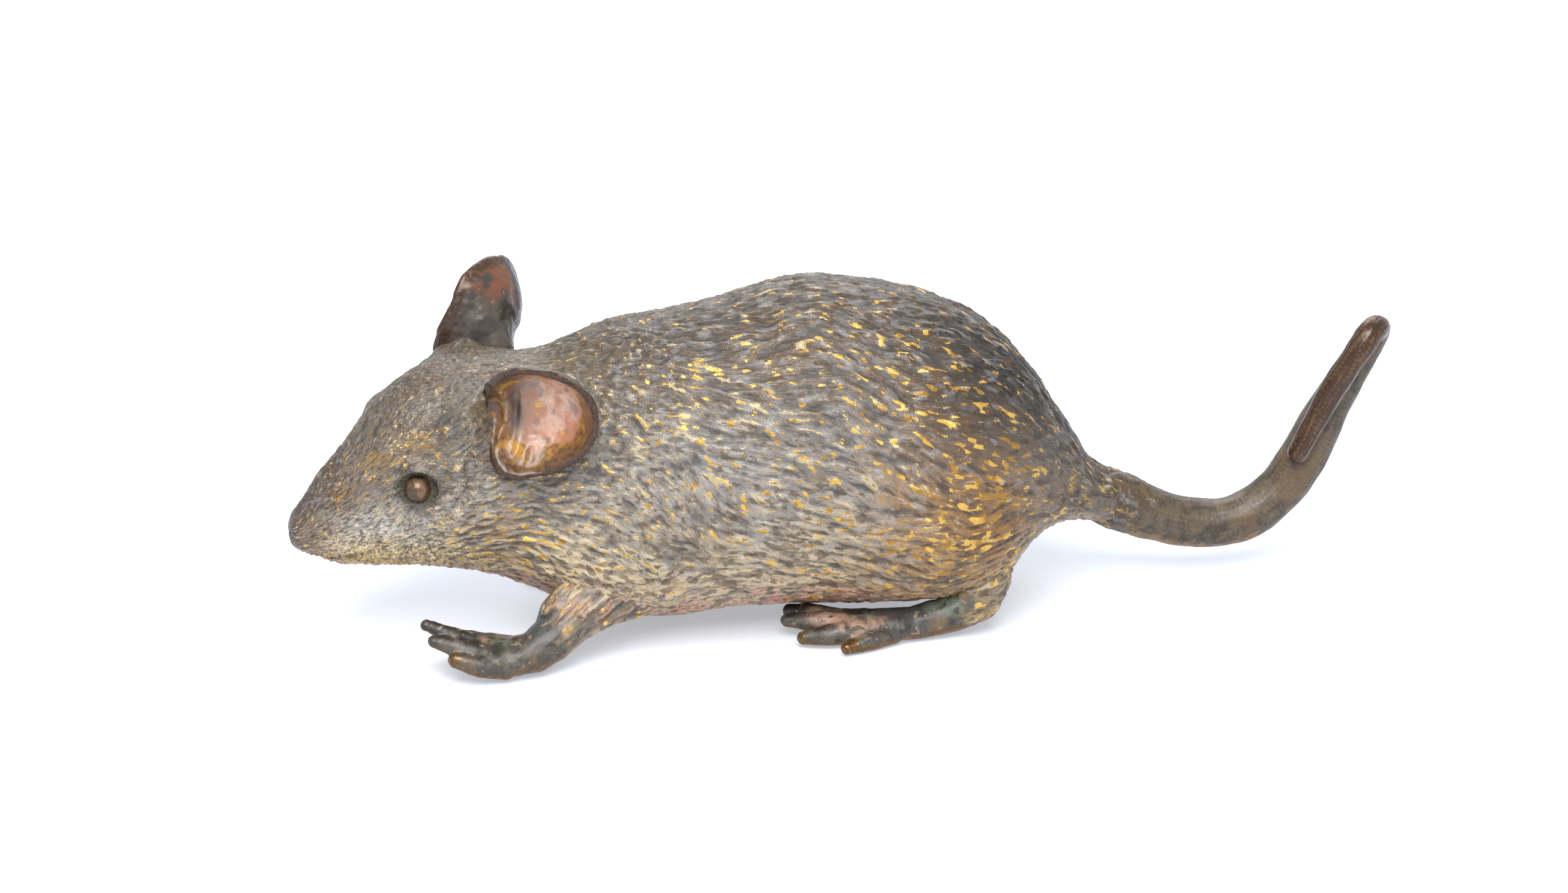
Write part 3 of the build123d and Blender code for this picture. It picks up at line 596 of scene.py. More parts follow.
fur_paint, tree, shader = bare_tree("cold_painted_fur")
colour, bronze, roughness, relief = fur_layers(tree)
join_all(
    tree, shader, Base_Color=colour, Metallic=weighed(tree, bronze, 0.5), Roughness=roughness,
    Normal=bumped(tree, 0.55, 0.06, relief),
)


def finished(name, bm, finish, slot, *nodes):
    """A piece from its millimetre form: its object, its finish and what it stands for."""
    bmesh.ops.scale(bm, vec=(mm, mm, mm), verts=bm.verts)
    mesh = bpy.data.meshes.new(name)
    bm.to_mesh(mesh)
    bm.free()
    mesh.shade_smooth()
    mesh.materials.append(finish)
    piece = bpy.data.objects.new(name, mesh)
    bpy.context.scene.collection.objects.link(piece)
    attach(piece, "root")
    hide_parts(*nodes)
    return piece


def casting_of(name, behind):
    """One of the two castings: the skin on one side of the neck seam, closed at the seam."""
    half = body.copy()
    away = [
        face for face in half.faces if ((face.calc_center_median() - neck_middle).dot(neck_way) > 0) != behind
    ]
    bmesh.ops.delete(half, geom=away, context="FACES")
    half.normal_update()
    layer = half.verts.layers.float_vector["facing"]
    facing = [vertex[layer].normalized() for vertex in half.verts]
    rim = [edge for edge in half.edges if edge.is_boundary]
    bmesh.ops.holes_fill(half, edges=rim, sides=0)
    piece = finished(name, half, fur_paint, "painted_bronze_fur", name.replace("_casting", ""))
    piece.data.normals_split_custom_set_from_vertices(facing)


casting_of("trunk_casting", True)

# The head: the other hollow casting, with the muzzle, brows, lids and mouth chased into it. Its
# spigot fits inside the trunk's rim at the leaning neck seam, brazed and filed away.
casting_of("head_casting", False)
body.free()

# The ears: thin dished castings with a rolled rim, painted pink inside over ochre, dark outside,
# and rubbed to brown bronze along the rim. Each is brazed on by a stalk and a tenon.
left_ear_width, left_ear_height, right_ear_width, right_ear_height = 11.2, 12.6, 9.4, 11.2
ear_dish, ear_bowl, ear_root = 8.2, 1.25, 2.6
ear_thickness, ear_rim_swell, ear_rim_roll = 0.36, 0.20, 0.30
head_yaw = 7.0
ear_facets, ear_rings = 160, 120
left_ear_outline = (
    (0.97, 0.41), (0.80, 0.77), (0.47, 0.99), (0.0, 1.0), (-0.46, 0.94), (-0.82, 0.63), (-1.04, 0.13),
    (-1.02, -0.38), (-0.80, -0.74), (-0.34, -0.92), (0.12, -0.86), (0.54, -0.66), (0.86, -0.32), (1.0, 0.06),
)
right_ear_outline = (
    (0.96, 0.03), (0.98, 0.45), (0.86, 0.78), (0.48, 0.97), (0.0, 1.0), (-0.54, 0.90), (-0.94, 0.60),
    (-1.10, 0.05), (-1.04, -0.52), (-0.62, -0.90), (0.04, -0.86), (0.52, -0.62), (0.84, -0.32),
)
# Folds inside an ear: their place as shares of its half width and half height, their spreads
# and how far they rise
ear_folds = (
    (-0.49, 0.22, 0.07, 0.18, -0.45), (-0.47, -0.10, 0.07, 0.18, -0.50), (-0.45, -0.40, 0.07, 0.16, -0.45),
    (-0.68, 0.16, 0.09, 0.18, 0.60), (-0.60, -0.16, 0.07, 0.14, 0.95), (-0.66, -0.46, 0.06, 0.13, 0.75),
    (-0.56, 0.42, 0.10, 0.10, 0.30), (-0.80, 0.30, 0.12, 0.22, 0.50), (-0.34, -0.58, 0.09, 0.12, 0.60),
    (0.10, 0.60, 0.45, 0.06, 0.25), (-0.12, -0.68, 0.10, 0.08, 0.40),
)


def rim_reach(outline, angle):
    """How far the rim lies from the ear's middle, at an angle round it."""
    points = sorted((math.atan2(v, u), math.hypot(u, v)) for u, v in outline)
    count = len(points)
    turns = np.array([points[k % count][0] + 2 * math.pi * (k // count) for k in range(-2, count + 2)])
    reach = np.array([points[k % count][1] for k in range(-2, count + 2)])
    step = np.clip(np.searchsorted(turns, angle) - 1, 1, count + 1)
    t = (angle - turns[step]) / (turns[step + 1] - turns[step])
    before, start, end, after = (reach[np.clip(step + k, 0, count + 3)] for k in (-1, 0, 1, 2))
    return 0.5 * (
        2 * start + (end - before) * t + (2 * before - 5 * start + 4 * end - after) * t**2
        + (3 * start - before - 3 * end + after) * t**3
    )


def ear_axes(side, station, out, rise, lean, back, facing):
    """The middle of an ear, and its ways to the rear, up and out."""
    at = np.array([station])
    centre = np.array([[station * body_length, side * out * body_half_width, rise * back_height]])
    centre = posed(centre, at)[0]
    lean, back, facing = (math.radians(a) for a in (lean, back, facing))
    up = Vector((math.sin(back), side * math.sin(lean), math.cos(back))).normalized()
    face = Vector((-math.sin(facing), side * math.cos(facing), 0))
    face = (face - up * face.dot(up)).normalized()
    ahead = 1 - station / neck_station
    turned = min(ahead / head_roll_length, 1)
    roll = Matrix.Rotation(math.radians(head_roll * turned**2 * (3 - 2 * turned)), 3, "X")
    yaw = Matrix.Rotation(math.radians(head_yaw), 3, "Z")
    up, face = yaw @ roll @ up, yaw @ roll @ face
    return Vector(centre), up.cross(face) * -side, up, face


def ear_leaf(axes, outline, width, height, laid):
    """A dished leaf with a rolled rim, folds at its front and a swollen root behind."""
    centre, rear, up, face = axes
    bm, ball = rolled_ball(ear_facets, ear_rings)
    front = ball[:, 2] >= 0
    from_middle = np.arccos(np.clip(np.abs(ball[:, 2]), 0, 1)) / (math.pi / 2)
    share = 1 - (1 - from_middle) ** 1.45
    angle = np.arctan2(ball[:, 1], ball[:, 0])
    reach = rim_reach(outline, angle) * share
    u, v = reach * np.cos(angle), reach * np.sin(angle)
    across = np.hypot(u * width / 2, v * height / 2)
    dish = ear_dish - np.sqrt(np.maximum(ear_dish**2 - across**2, 1)) - 0.94
    rim = np.exp(-(((share - 0.9) / 0.085) ** 2))
    close = np.sqrt(np.clip(1 - share**9, 0, 1))
    thick = (ear_thickness + ear_rim_swell * rim) * close
    bowl = ear_bowl * np.exp(-((share / 0.78) ** 7))
    out = np.where(front, dish + thick + ear_rim_roll * rim, dish - thick) - bowl
    for *where, rise in ear_folds:
        out += np.where(front, rise * mound(u, v, *where), 0) * close
    out -= np.where(front, 0, ear_root * mound(u, v, -0.25, -0.45, 0.5, 0.45))
    out -= laid * np.clip((-u - 0.42) / 0.6, 0, 1) ** 1.5 * np.clip(0.45 + (0.5 - v) / 0.8, 0.45, 1)
    places = (
        np.array(centre) + np.outer(u * width / 2, rear) + np.outer(v * height / 2, up) + np.outer(out, face)
    )
    bmesh.ops.recalc_face_normals(bm, faces=bm.faces)
    placed(bm, places)
    dents = blotches(places, 1.6, 5.5) * 0.05 + blotches(places, 0.5, 9.1) * 0.02
    placed(bm, places + normals_of(bm) * dents[:, None])
    bmesh.ops.recalc_face_normals(bm, faces=bm.faces)
    inside = np.where(front, np.exp(-((share / 0.80) ** 10)), 0)
    # Where the crease runs at the front of the bowl, which the paint darkens as painted shade
    crease = mound(u + 0.48 + 0.06 * v + 0.04 * np.sin(9 * v), v, 0.0, -0.1, 0.09, 0.42)
    keep(bm, "ear_marks", np.stack([inside, share, np.where(front, 1.0, 0.0), 0.5 + 0.5 * v], -1))
    forward = np.clip((-u - 0.5) / 0.4, 0, 1)
    keep(bm, "ear_shades", np.stack([crease, 0.5 + 0.5 * u, forward, np.ones(len(u))], -1))
    return bm


ear_paint, tree, shader = bare_tree("painted_ear_bronze")
inside, share, front, height_up = marks_of(tree, "ear_marks")
crease, rearward, forward, _ = marks_of(tree, "ear_shades")
fine, blotch = specks_of(tree, 0.35, 3.0, 0.6), specks_of(tree, 2.2, 3.0, 0.55)
patch = specks_of(tree, 1.2, 2.0, 0.5)
pink = glazed(tree, (176, 120, 92), blotch, 0.38, 0.60, (206, 172, 152))
pink = glazed(tree, pink, rearward, 0.55, 0.28, (128, 108, 92), 0.75)
pink = glazed(tree, pink, patch, 0.56, 0.66, (110, 104, 100), 0.6)
pink = glazed(tree, pink, fine, 0.36, 0.24, (84, 66, 54), 0.6)
pink = glazed(tree, pink, specks_of(tree, 1.0, 1.0), 0.67, 0.71, (196, 150, 66))
ochre = glazed(tree, (118, 76, 42), fine, 0.3, 0.7, (150, 104, 54))
ochre = glazed(tree, ochre, patch, 0.50, 0.60, (176, 128, 50))
border = weighed(tree, blotch, 0.6, weighed(tree, share, 1.0, -0.30))
within = glazed(tree, pink, border, 0.57, 0.68, ochre)
front_fold = glazed(tree, (80, 68, 56), patch, 0.52, 0.58, (184, 136, 56))
within = over(tree, weighed(tree, forward, 0.75), within, front_fold)
# Painted shade: the crease at the front of the bowl is laid near black over the inside paint
within = over(tree, weighed(tree, crease, 0.85), within, (50, 44, 40))
back = glazed(tree, (54, 48, 43), blotch, 0.4, 0.6, (74, 66, 57))
tip = weighed(tree, rise_of(tree, height_up, 0.66, 0.82), rise_of(tree, blotch, 0.42, 0.52))
back = over(tree, weighed(tree, tip, 0.85), back, (104, 58, 32))
back = glazed(tree, back, specks_of(tree, 1.0, 2.0), 0.66, 0.71, (160, 116, 54))
rim_brown = glazed(tree, (54, 41, 33), fine, 0.4, 0.75, (92, 64, 43))
colour = over(tree, inside, over(tree, front, back, rim_brown), within)
colour = glazed(tree, colour, share, 0.88, 0.95, rim_brown, 0.85)
join_all(
    tree, shader, Base_Color=colour, Roughness=rise_of(tree, fine, 0.3, 0.7, 0.22, 0.42),
    Metallic=weighed(tree, rise_of(tree, share, 0.86, 0.95), 0.35), Normal=bumped(tree, 0.4, 0.05, fine),
)
left_axes = ear_axes(-1, 0.286, 0.70, 0.778, 10.0, 2.0, 26.0)
left_leaf = ear_leaf(left_axes, left_ear_outline, left_ear_width, left_ear_height, 3.9)
finished("left_ear_leaf", left_leaf, ear_paint, "painted_ear", "left_ear")
right_axes = ear_axes(1, 0.254, 0.54, 0.855, 4.0, 22.0, 40.0)
right_leaf = ear_leaf(right_axes, right_ear_outline, right_ear_width, right_ear_height, 0.0)
finished("right_ear_leaf", right_leaf, ear_paint, "painted_ear", "right_ear")

# The eyes: turned bronze beads, polished dark brown, pressed into drilled sockets. A little
# green has grown round each under its lid.
eye_bronze, tree, shader = bare_tree("polished_eye_bronze")
cloud = specks_of(tree, 1.1, 2.0, 0.5)
colour = glazed(tree, (70, 52, 38), cloud, 0.4, 0.62, (112, 84, 60))
colour = glazed(tree, colour, specks_of(tree, 0.3, 2.0), 0.62, 0.72, (60, 68, 54), 0.6)
join_all(tree, shader, Base_Color=colour, Roughness=rise_of(tree, cloud, 0.3, 0.7, 0.22, 0.34))
shader.inputs["Metallic"].default_value = 0.25


def coated(finish, *names):
    """Gives one finish to pieces that are shown just as they were turned or drawn."""
    for name in names:
        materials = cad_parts[name].data.materials
        materials.clear()
        materials.append(finish)


coated(eye_bronze, "left_eye", "right_eye")

# The forelegs: each a cast arm, palm and four toes, pinned to the chest by a wire dowel and
# brazed. Paint is left in the hollows of the fur, the creases between the toes are painted
# near black as painted shade, and the toe tips and soles are rubbed to the bronze.
# A row of a limb has places with half sizes along, across and up, or with one radius
pour_grain, fur_cut, fur_tuft_cut, skin_cut, skin_dent = 0.15, 0.095, 0.05, 0.012, 0.03
left_arm = (
    (-22.4, -8.2, 6.6, 4.4, 2.4, 2.8), (-25.6, -9.0, 6.0, 4.1, 2.5, 2.8), (-28.4, -10.2, 4.9, 2.7, 2.35, 2.6),
    (-29.7, -11.1, 3.4, 2.0, 2.1, 2.2), (-31.8, -11.6, 2.2, 1.9, 2.2, 1.9), (-34.4, -11.6, 1.8, 1.8, 2.5, 1.65),
    (-36.0, -11.4, 2.2, 1.3, 2.5, 1.3),
)
left_fingers = (
    ((-34.6, -12.8, 1.5, 1.25), (-37.0, -13.3, 1.9, 1.05), (-39.2, -13.1, 2.6, 0.72)),
    ((-34.6, -12.0, 1.9, 1.25), (-37.6, -12.2, 2.9, 1.05), (-40.9, -11.9, 4.1, 0.65)),
    ((-34.4, -10.8, 2.2, 1.2), (-37.8, -10.8, 3.4, 1.0), (-41.5, -10.4, 5.15, 0.6)),
    ((-33.6, -9.8, 2.2, 1.05), (-36.4, -9.5, 2.8, 0.9), (-39.3, -8.9, 3.6, 0.6)),
)
right_arm = (
    (-18.4, 7.6, 8.6, 3.8, 3.0, 3.6), (-19.0, 9.4, 6.0, 2.9, 2.5, 2.8), (-19.3, 10.7, 3.6, 2.1, 2.0, 2.2),
    (-20.6, 11.3, 1.9, 1.8, 2.0, 1.75), (-23.4, 11.5, 1.5, 1.9, 2.3, 1.45), (-25.7, 11.5, 1.2, 1.4, 2.5, 1.1),
)
right_fingers = (
    ((-24.6, 10.2, 1.1, 1.0), (-26.3, 9.9, 0.95, 0.85), (-27.7, 9.7, 0.62, 0.6)),
    ((-25.0, 11.0, 1.1, 1.0), (-27.0, 10.9, 0.95, 0.85), (-28.7, 10.9, 0.62, 0.6)),
    ((-25.0, 12.0, 1.1, 1.0), (-26.9, 12.1, 0.95, 0.85), (-28.6, 12.1, 0.62, 0.6)),
    ((-24.6, 12.8, 1.1, 1.0), (-26.6, 13.2, 0.95, 0.82), (-28.4, 13.4, 0.62, 0.58)),
)
lump_form = bmesh.new()
bmesh.ops.create_uvsphere(lump_form, u_segments=20, v_segments=14, radius=1)
lump = bpy.data.meshes.new("lump")
lump_form.to_mesh(lump)
lump_form.free()


def swollen(bm, row, steps):
    """A bent limb as a close row of balls: places and half sizes, along, across and up."""
    row = np.array([(*p[:3], *(p[3:] * (3 if len(p) == 4 else 1))) for p in row])
    marks = np.linspace(0, len(row) - 1, steps)
    for mark in marks:
        x, y, z, along, across, up = (np.interp(mark, range(len(row)), row[:, k]) for k in range(6))
        shape = Matrix.Translation((x, y, z)) @ Matrix.Diagonal((along, across, up, 1))
        lump.transform(shape)
        bm.from_mesh(lump)
        lump.transform(shape.inverted())


def cast_limb(rows, steps):
    """A limb poured as one: its lengths run together, smoothed and filed flat below."""
    bm = bmesh.new()
    for row, count in zip(rows, steps):
        swollen(bm, row, count)
    rough = bpy.data.meshes.new("rough")
    bm.to_mesh(rough)
    bm.free()
    holder = bpy.data.objects.new("rough", rough)
    bpy.context.scene.collection.objects.link(holder)
    holder.modifiers.new("poured", "REMESH").mode = "VOXEL"
    holder.modifiers["poured"].voxel_size = pour_grain
    even = holder.modifiers.new("even", "SMOOTH")
    even.iterations, even.factor = 6, 0.5
    poured = bpy.data.meshes.new_from_object(holder.evaluated_get(bpy.context.evaluated_depsgraph_get()))
    bpy.data.objects.remove(holder)
    limb = bmesh.new()
    limb.from_mesh(poured)
    bpy.data.meshes.remove(poured)
    bpy.data.meshes.remove(rough)
    places = places_of(limb)
    places[:, 2] = np.maximum(places[:, 2], 0.0)
    placed(limb, places)
    return limb


def paw_of(rows, steps, root, tips, dabs):
    """A limb with fur at the root, its dabs of paint, among them painted shade in the creases between the toes,
    and the marks that its paint follows.
    """
    limb = cast_limb(rows, steps)
    places = places_of(limb)
    root_place, root_way, lay_way, fur_colour, covers = root
    lay = np.tile(unit(np.array([lay_way], float)), (len(places), 1))
    edge = (places - root_place) @ unit(np.array([root_way]))[0] + 0.5 * blotches(places, 0.9, 6.1)
    furry = np.clip(edge / 1.2, 0, 1)
    carved = np.tanh(1.1 * strokes(places, lay, 0.33, 1.9, 13.3))
    tufts = strokes(places, lay, 0.62, 3.2, 7.7)
    above = places[:, 2] > 0.05
    lift = (fur_cut * carved + fur_tuft_cut * tufts) * furry + skin_cut * carved * (1 - furry)
    lift = (lift + skin_dent * blotches(places, 0.9, 2.2)) * above
    placed(limb, places + normals_of(limb) * lift[:, None])
    skin = np.tile(pigment(72, 65, 57), (len(places), 1))
    skin += (0.25 * np.tanh(blotches(places, 1.1, 4.4)))[:, None] * skin
    for x, y, z, reach, strength, colour in dabs:
        near = np.linalg.norm(places - (x, y, z), axis=1) + 0.22 * reach * blotches(places, 0.7, 8.8)
        brush(skin, strength * np.exp(-((near / reach) ** 4)), colour)
    rubbed = np.zeros(len(places))
    for x, y, z, reach in tips:
        away = np.linalg.norm(places - (x, y, z), axis=1)
        rubbed = np.maximum(rubbed, np.clip(1.4 - away / reach, 0, 1))
    under = np.clip(-normals_of(limb)[:, 2] * 1.5, 0, 1) * (1 - 0.6 * furry)
    under = np.maximum(under, 0.75 * np.clip((1.5 - places[:, 2]) / 0.8, 0, 1) * (1 - furry))
    keep(limb, "paw_skin", np.hstack([skin, np.ones((len(places), 1))]))
    keep(limb, "paw_marks", np.stack([np.maximum(rubbed, under), furry, rubbed, np.ones(len(places))], -1))
    one = np.ones(len(places))
    coat = np.tile(pigment(*fur_colour), (len(places), 1))
    keep_fur(limb, places, lay, carved + 0.45 * tufts, coat, *[cover * one for cover in covers])
    return limb


paw_paint, tree, shader = bare_tree("painted_paw_bronze")
rubbed, furry, tips, _ = marks_of(tree, "paw_marks")
fine, spot = specks_of(tree, 0.3, 3.0, 0.6), specks_of(tree, 0.8, 2.0)
tone = rise_of(tree, fine, 0.25, 0.75, 0.7, 1.35, "LINEAR")
skin = over(tree, 1.0, kept_by(tree, "paw_skin")["Color"], tone, "MULTIPLY")
skin = glazed(tree, skin, spot, 0.60, 0.66, (38, 33, 29), 0.8)
skin = glazed(tree, skin, spot, 0.38, 0.32, (146, 128, 98), 0.6)
fur, _, _, fur_relief = fur_layers(tree)
bronze = glazed(tree, (84, 60, 34), fine, 0.35, 0.7, (120, 88, 48))
cover = rise_of(tree, weighed(tree, fine, 0.6, rubbed), 0.75, 1.0)
colour = over(tree, cover, over(tree, furry, skin, fur), bronze)
relief = over(tree, furry, weighed(tree, fine, 0.8), fur_relief)


def greater_of(tree, first, second):
    """The greater of two values."""
    return add(tree, "ShaderNodeMath", {0: first, 1: second}, operation="MAXIMUM").outputs[0]


join_all(
    tree, shader, Base_Color=colour, Metallic=weighed(tree, greater_of(tree, cover, tips), 0.6),
    Roughness=rise_of(tree, cover, 0.0, 1.0, 0.44, 0.3), Normal=bumped(tree, 0.4, 0.05, relief),
)
# Dabs of paint on a paw: places, reach, cover and colour, from the wrist on a forepaw
# The near-black dabs sit in the creases between the toes and are painted shade
toe_shade_black, rose, verdigris, ash, tan = (30, 27, 25), (158, 126, 108), (94, 108, 92), (64, 64, 64), (112, 86, 52)
hand_dabs = (
    (0.0, 0.0, 4.6, 2.1, 0.9, ash), (1.1, 0.4, 3.2, 1.5, 0.7, ash), (1.4, -1.0, 2.4, 0.9, 0.8, verdigris),
    (-3.8, -0.8, 3.4, 1.2, 0.6, verdigris), (-6.6, 0.0, 4.4, 1.1, 0.9, toe_shade_black),
    (-9.4, 0.5, 5.2, 1.8, 0.85, toe_shade_black), (-4.4, -1.6, 2.8, 0.9, 0.9, toe_shade_black), (-6.2, -1.4, 3.4, 0.9, 0.9, toe_shade_black),
    (-1.6, -2.0, 1.8, 1.0, 0.6, tan), (-7.2, -2.4, 2.4, 1.0, 0.5, tan),
    (-3.0, 1.0, 3.6, 1.0, 0.5, (128, 112, 94)), (-5.2, -0.6, 3.6, 0.7, 0.5, (150, 124, 104)),
)
arm_steps = (34, 14, 14, 14, 14)
left_root = ((-29.3, -10.5, 3.6), (0.89, 0.0, 0.45), (-1, -0.4, -0.7), (124, 110, 88), (0.2, 0.5, 0.25, 0.5))
left_dabs = [(x - 31.0, y - 11.0, *rest) for x, y, *rest in hand_dabs]
left_tips = [(*finger[-1][:3], reach) for finger, reach in zip(left_fingers, (0.9, 0.6, 0.5, 0.5))]
left_paw = paw_of((left_arm, *left_fingers), arm_steps, left_root, left_tips, left_dabs)
finished("left_foreleg_casting", left_paw, paw_paint, "painted_paw", "left_foreleg")
right_root = ((-19.6, 10.4, 4.6), (0.2, -0.2, 0.95), (-0.1, 0.4, -1), (150, 130, 104), (0.3, 0.65, 0.35, 0.5))
right_dabs = [(x - 20.8, 11.4 - y, 0.6 * z, *rest) for x, y, z, *rest in hand_dabs]
right_tips = [(*finger[-1][:3], 0.9) for finger in right_fingers]
right_paw = paw_of((right_arm, *right_fingers), arm_steps, right_root, right_tips, right_dabs)
finished("right_foreleg_casting", right_paw, paw_paint, "painted_paw", "right_foreleg")

# The hind feet: each a cast hock, heel, long foot and five toes, pinned under the haunch by a
# wire dowel and brazed. They are painted and rubbed like the forepaws.
hind_leg = (
    (9.4, -7.2, 11.4, 4.6, 3.4, 3.8), (11.2, -8.6, 8.2, 3.2, 2.9, 3.0), (11.5, -9.3, 5.4, 2.7, 2.4, 2.5),
    (10.5, -9.7, 3.4, 2.5, 2.1, 2.1), (8.0, -9.8, 2.1, 2.2, 1.8, 1.75), (4.6, -9.8, 1.6, 2.0, 1.8, 1.55),
    (1.2, -9.7, 1.5, 2.0, 2.4, 1.45), (-1.6, -9.3, 1.35, 1.7, 3.0, 1.3),
)
hind_toes = (
    ((2.4, -10.9, 1.2, 1.1), (0.2, -12.0, 1.0, 0.95), (-2.4, -12.9, 0.8, 0.62)),
    ((-1.4, -10.7, 1.4, 1.2), (-3.8, -10.6, 1.3, 1.02), (-6.0, -10.1, 1.0, 0.72)),
    ((-1.8, -9.2, 1.5, 1.2), (-4.6, -8.2, 1.8, 1.04), (-7.0, -7.4, 1.8, 0.68)),
    ((-1.4, -7.9, 1.5, 1.15), (-4.0, -6.4, 1.8, 0.98), (-6.4, -5.2, 1.9, 0.66)),
    ((1.2, -8.3, 1.4, 1.2), (0.0, -6.8, 1.2, 1.0), (-1.5, -5.7, 0.95, 0.78)),
)
foot_dabs = (
    (2.8, -9.8, 3.0, 2.6, 0.8, ash), (5.2, -9.8, 3.0, 2.2, 0.7, ash), (6.9, -9.6, 3.9, 1.5, 0.8, verdigris),
    (8.0, -10.8, 3.4, 1.2, 0.6, verdigris), (-3.4, -9.3, 2.7, 1.5, 0.85, rose),
    (-1.4, -11.0, 2.3, 1.2, 0.8, rose), (-4.8, -7.4, 2.9, 1.2, 0.8, rose), (0.8, -11.0, 2.2, 0.9, 0.7, rose),
    (-0.2, -9.6, 3.0, 0.9, 0.5, verdigris), (-4.3, -10.4, 2.5, 1.0, 0.9, toe_shade_black),
    (-6.4, -7.5, 2.2, 1.2, 0.9, toe_shade_black), (-5.6, -5.6, 2.4, 1.1, 0.9, toe_shade_black), (-0.6, -9.0, 3.0, 0.7, 0.8, toe_shade_black),
    (1.8, -12.0, 2.0, 0.9, 0.7, toe_shade_black), (3.4, -11.4, 2.0, 0.7, 0.8, toe_shade_black), (6.8, -11.2, 1.8, 1.0, 0.6, tan),
)
foot_tips = ((-2.2, -12.9, 0.8, 1.2), (-6.0, -10.2, 1.0, 0.8), (-1.5, -5.7, 1.0, 0.8))


def other_side(row):
    """The same row of places on the right side."""
    return tuple((x, -y, *rest) for x, y, *rest in row)


hind_steps = (40, 12, 12, 12, 12, 12)
hind_root = ((8.7, -9.6, 4.0), (1.0, 0.0, 0.2), (-1, 0, -0.3), (146, 124, 90), (0.5, 0.5, 0.0, 0.55))
left_foot = paw_of((hind_leg, *hind_toes), hind_steps, hind_root, foot_tips, foot_dabs)
finished("left_hind_foot_casting", left_foot, paw_paint, "painted_paw", "left_hind_foot")
right_rows = [other_side(row) for row in (hind_leg, *hind_toes)]
right_hind_root = (other_side(hind_root[:1])[0], *hind_root[1:])
right_foot = paw_of(right_rows, hind_steps, right_hind_root, other_side(foot_tips), other_side(foot_dabs))
finished("right_hind_foot_casting", right_foot, paw_paint, "painted_paw", "right_hind_foot")

# The tail: a cast tapered rod that runs out of the rump, sweeps up and folds back on itself in a
# tight hairpin. Its patina is brown over bronze, with ochre left on it near the root.
tail_facets, tail_rings = 72, 520
tail_x, tail_z, tail_reach, tail_rise = 26.476, 9.174, 25.5, 14.0
tail_route = (
    (-0.10, 0.07), (-0.06, 0.03), (0.03, -0.05), (0.135, -0.145), (0.28, -0.235), (0.425, -0.26),
    (0.555, -0.20), (0.660, -0.05), (0.737, 0.15), (0.806, 0.395), (0.883, 0.66), (1.0, 1.0),
)
tail_radii = (2.2, 2.6, 2.85, 2.6, 2.42, 2.34, 2.32, 2.3, 2.3, 2.16, 1.86, 1.3)
tail_fold_radius, tail_fold_thickness, tail_laid_back = 1.6, 1.26, 4
tail_fold_way = Vector((-0.5, -0.82, 0.28))


def tail_line():
    """Centres and radii along the whole tail: the run, the fold and the end laid back."""
    run = [Vector((tail_x + a * tail_reach, 0.4, tail_z + b * tail_rise)) for a, b in tail_route]
    way = (run[-1] - run[-2]).normalized()
    fold = (tail_fold_way - way * tail_fold_way.dot(way)).normalized()
    line = [(*point, radius) for point, radius in zip(run, tail_radii)]
    for degrees in range(30, 181, 30):
        turn = math.radians(degrees)
        over_by, out_by = tail_fold_radius * (1 - math.cos(turn)), tail_fold_radius * math.sin(turn)
        line.append((*(run[-1] + fold * over_by + way * out_by), tail_fold_thickness))
    for k, point in enumerate(run[-2 : -tail_laid_back - 1 : -1]):
        line.append((*(point + fold * 2 * tail_fold_radius), 1.2 - 0.08 * k))
    return np.array(line)


def smooth_line(line, count):
    """Evenly spaced places on a smooth curve through a row of them."""
    marks = np.concatenate([[0], np.cumsum(np.linalg.norm(np.diff(line[:, :3], axis=0), axis=1) ** 0.5)])
    slope = np.gradient(line, marks, axis=0)
    fine_marks = np.linspace(0, marks[-1], 6 * count)
    step = np.clip(np.searchsorted(marks, fine_marks) - 1, 0, len(marks) - 2)
    span = (marks[step + 1] - marks[step])[:, None]
    curve = bend((fine_marks - marks[step])[:, None] / span, span, line, slope, step)
    length = np.concatenate([[0], np.cumsum(np.linalg.norm(np.diff(curve[:, :3], axis=0), axis=1))])
    even = np.linspace(0, length[-1], count)
    return np.stack([np.interp(even, length, curve[:, k]) for k in range(4)], -1), length[-1]


tail_curve, tail_length = smooth_line(tail_line(), tail_rings)
ways = unit(np.gradient(tail_curve[:, :3], axis=0))
side_ways = [Vector((0, 1, 0))]
for way in ways:
    side = side_ways[-1]
    side_ways.append((side - Vector(way) * side.dot(Vector(way))).normalized())
side_ways = np.array(side_ways[1:])
up_ways = np.cross(ways, side_ways)
tail_form, ball = rolled_ball(tail_facets, tail_rings - 1)
along = (1 - np.arccos(np.clip(ball[:, 2], -1, 1)) / math.pi) * (tail_rings - 1)
at = np.clip(np.round(along).astype(int), 0, tail_rings - 1)
angle = np.arctan2(ball[:, 1], ball[:, 0])
from_end = (tail_rings - 1 - at) * tail_length / (tail_rings - 1)
from_start = at * tail_length / (tail_rings - 1)
ends = np.sqrt(np.clip(1 - (1 - np.clip(np.minimum(from_end, from_start) / 1.1, 0, 1)) ** 2, 0, 1))
radius = tail_curve[at, 3] * ends
sideways, upward = (radius * np.cos(angle))[:, None], (radius * np.sin(angle))[:, None]
places = tail_curve[at, :3] + side_ways[at] * sideways + up_ways[at] * upward
placed(tail_form, places)
worn = 0.04 * blotches(places, 2.4, 3.3) + 0.018 * strokes(places, ways[at], 0.2, 1.6, 8.1)
root_ridge = np.tanh(0.8 * strokes(places, ways[at], 0.31, 1.4, 31.9) + 0.6 * blotches(places, 0.3, 17.7))
worn += 0.08 * np.clip(1.2 - from_start / 8, 0, 1) * root_ridge
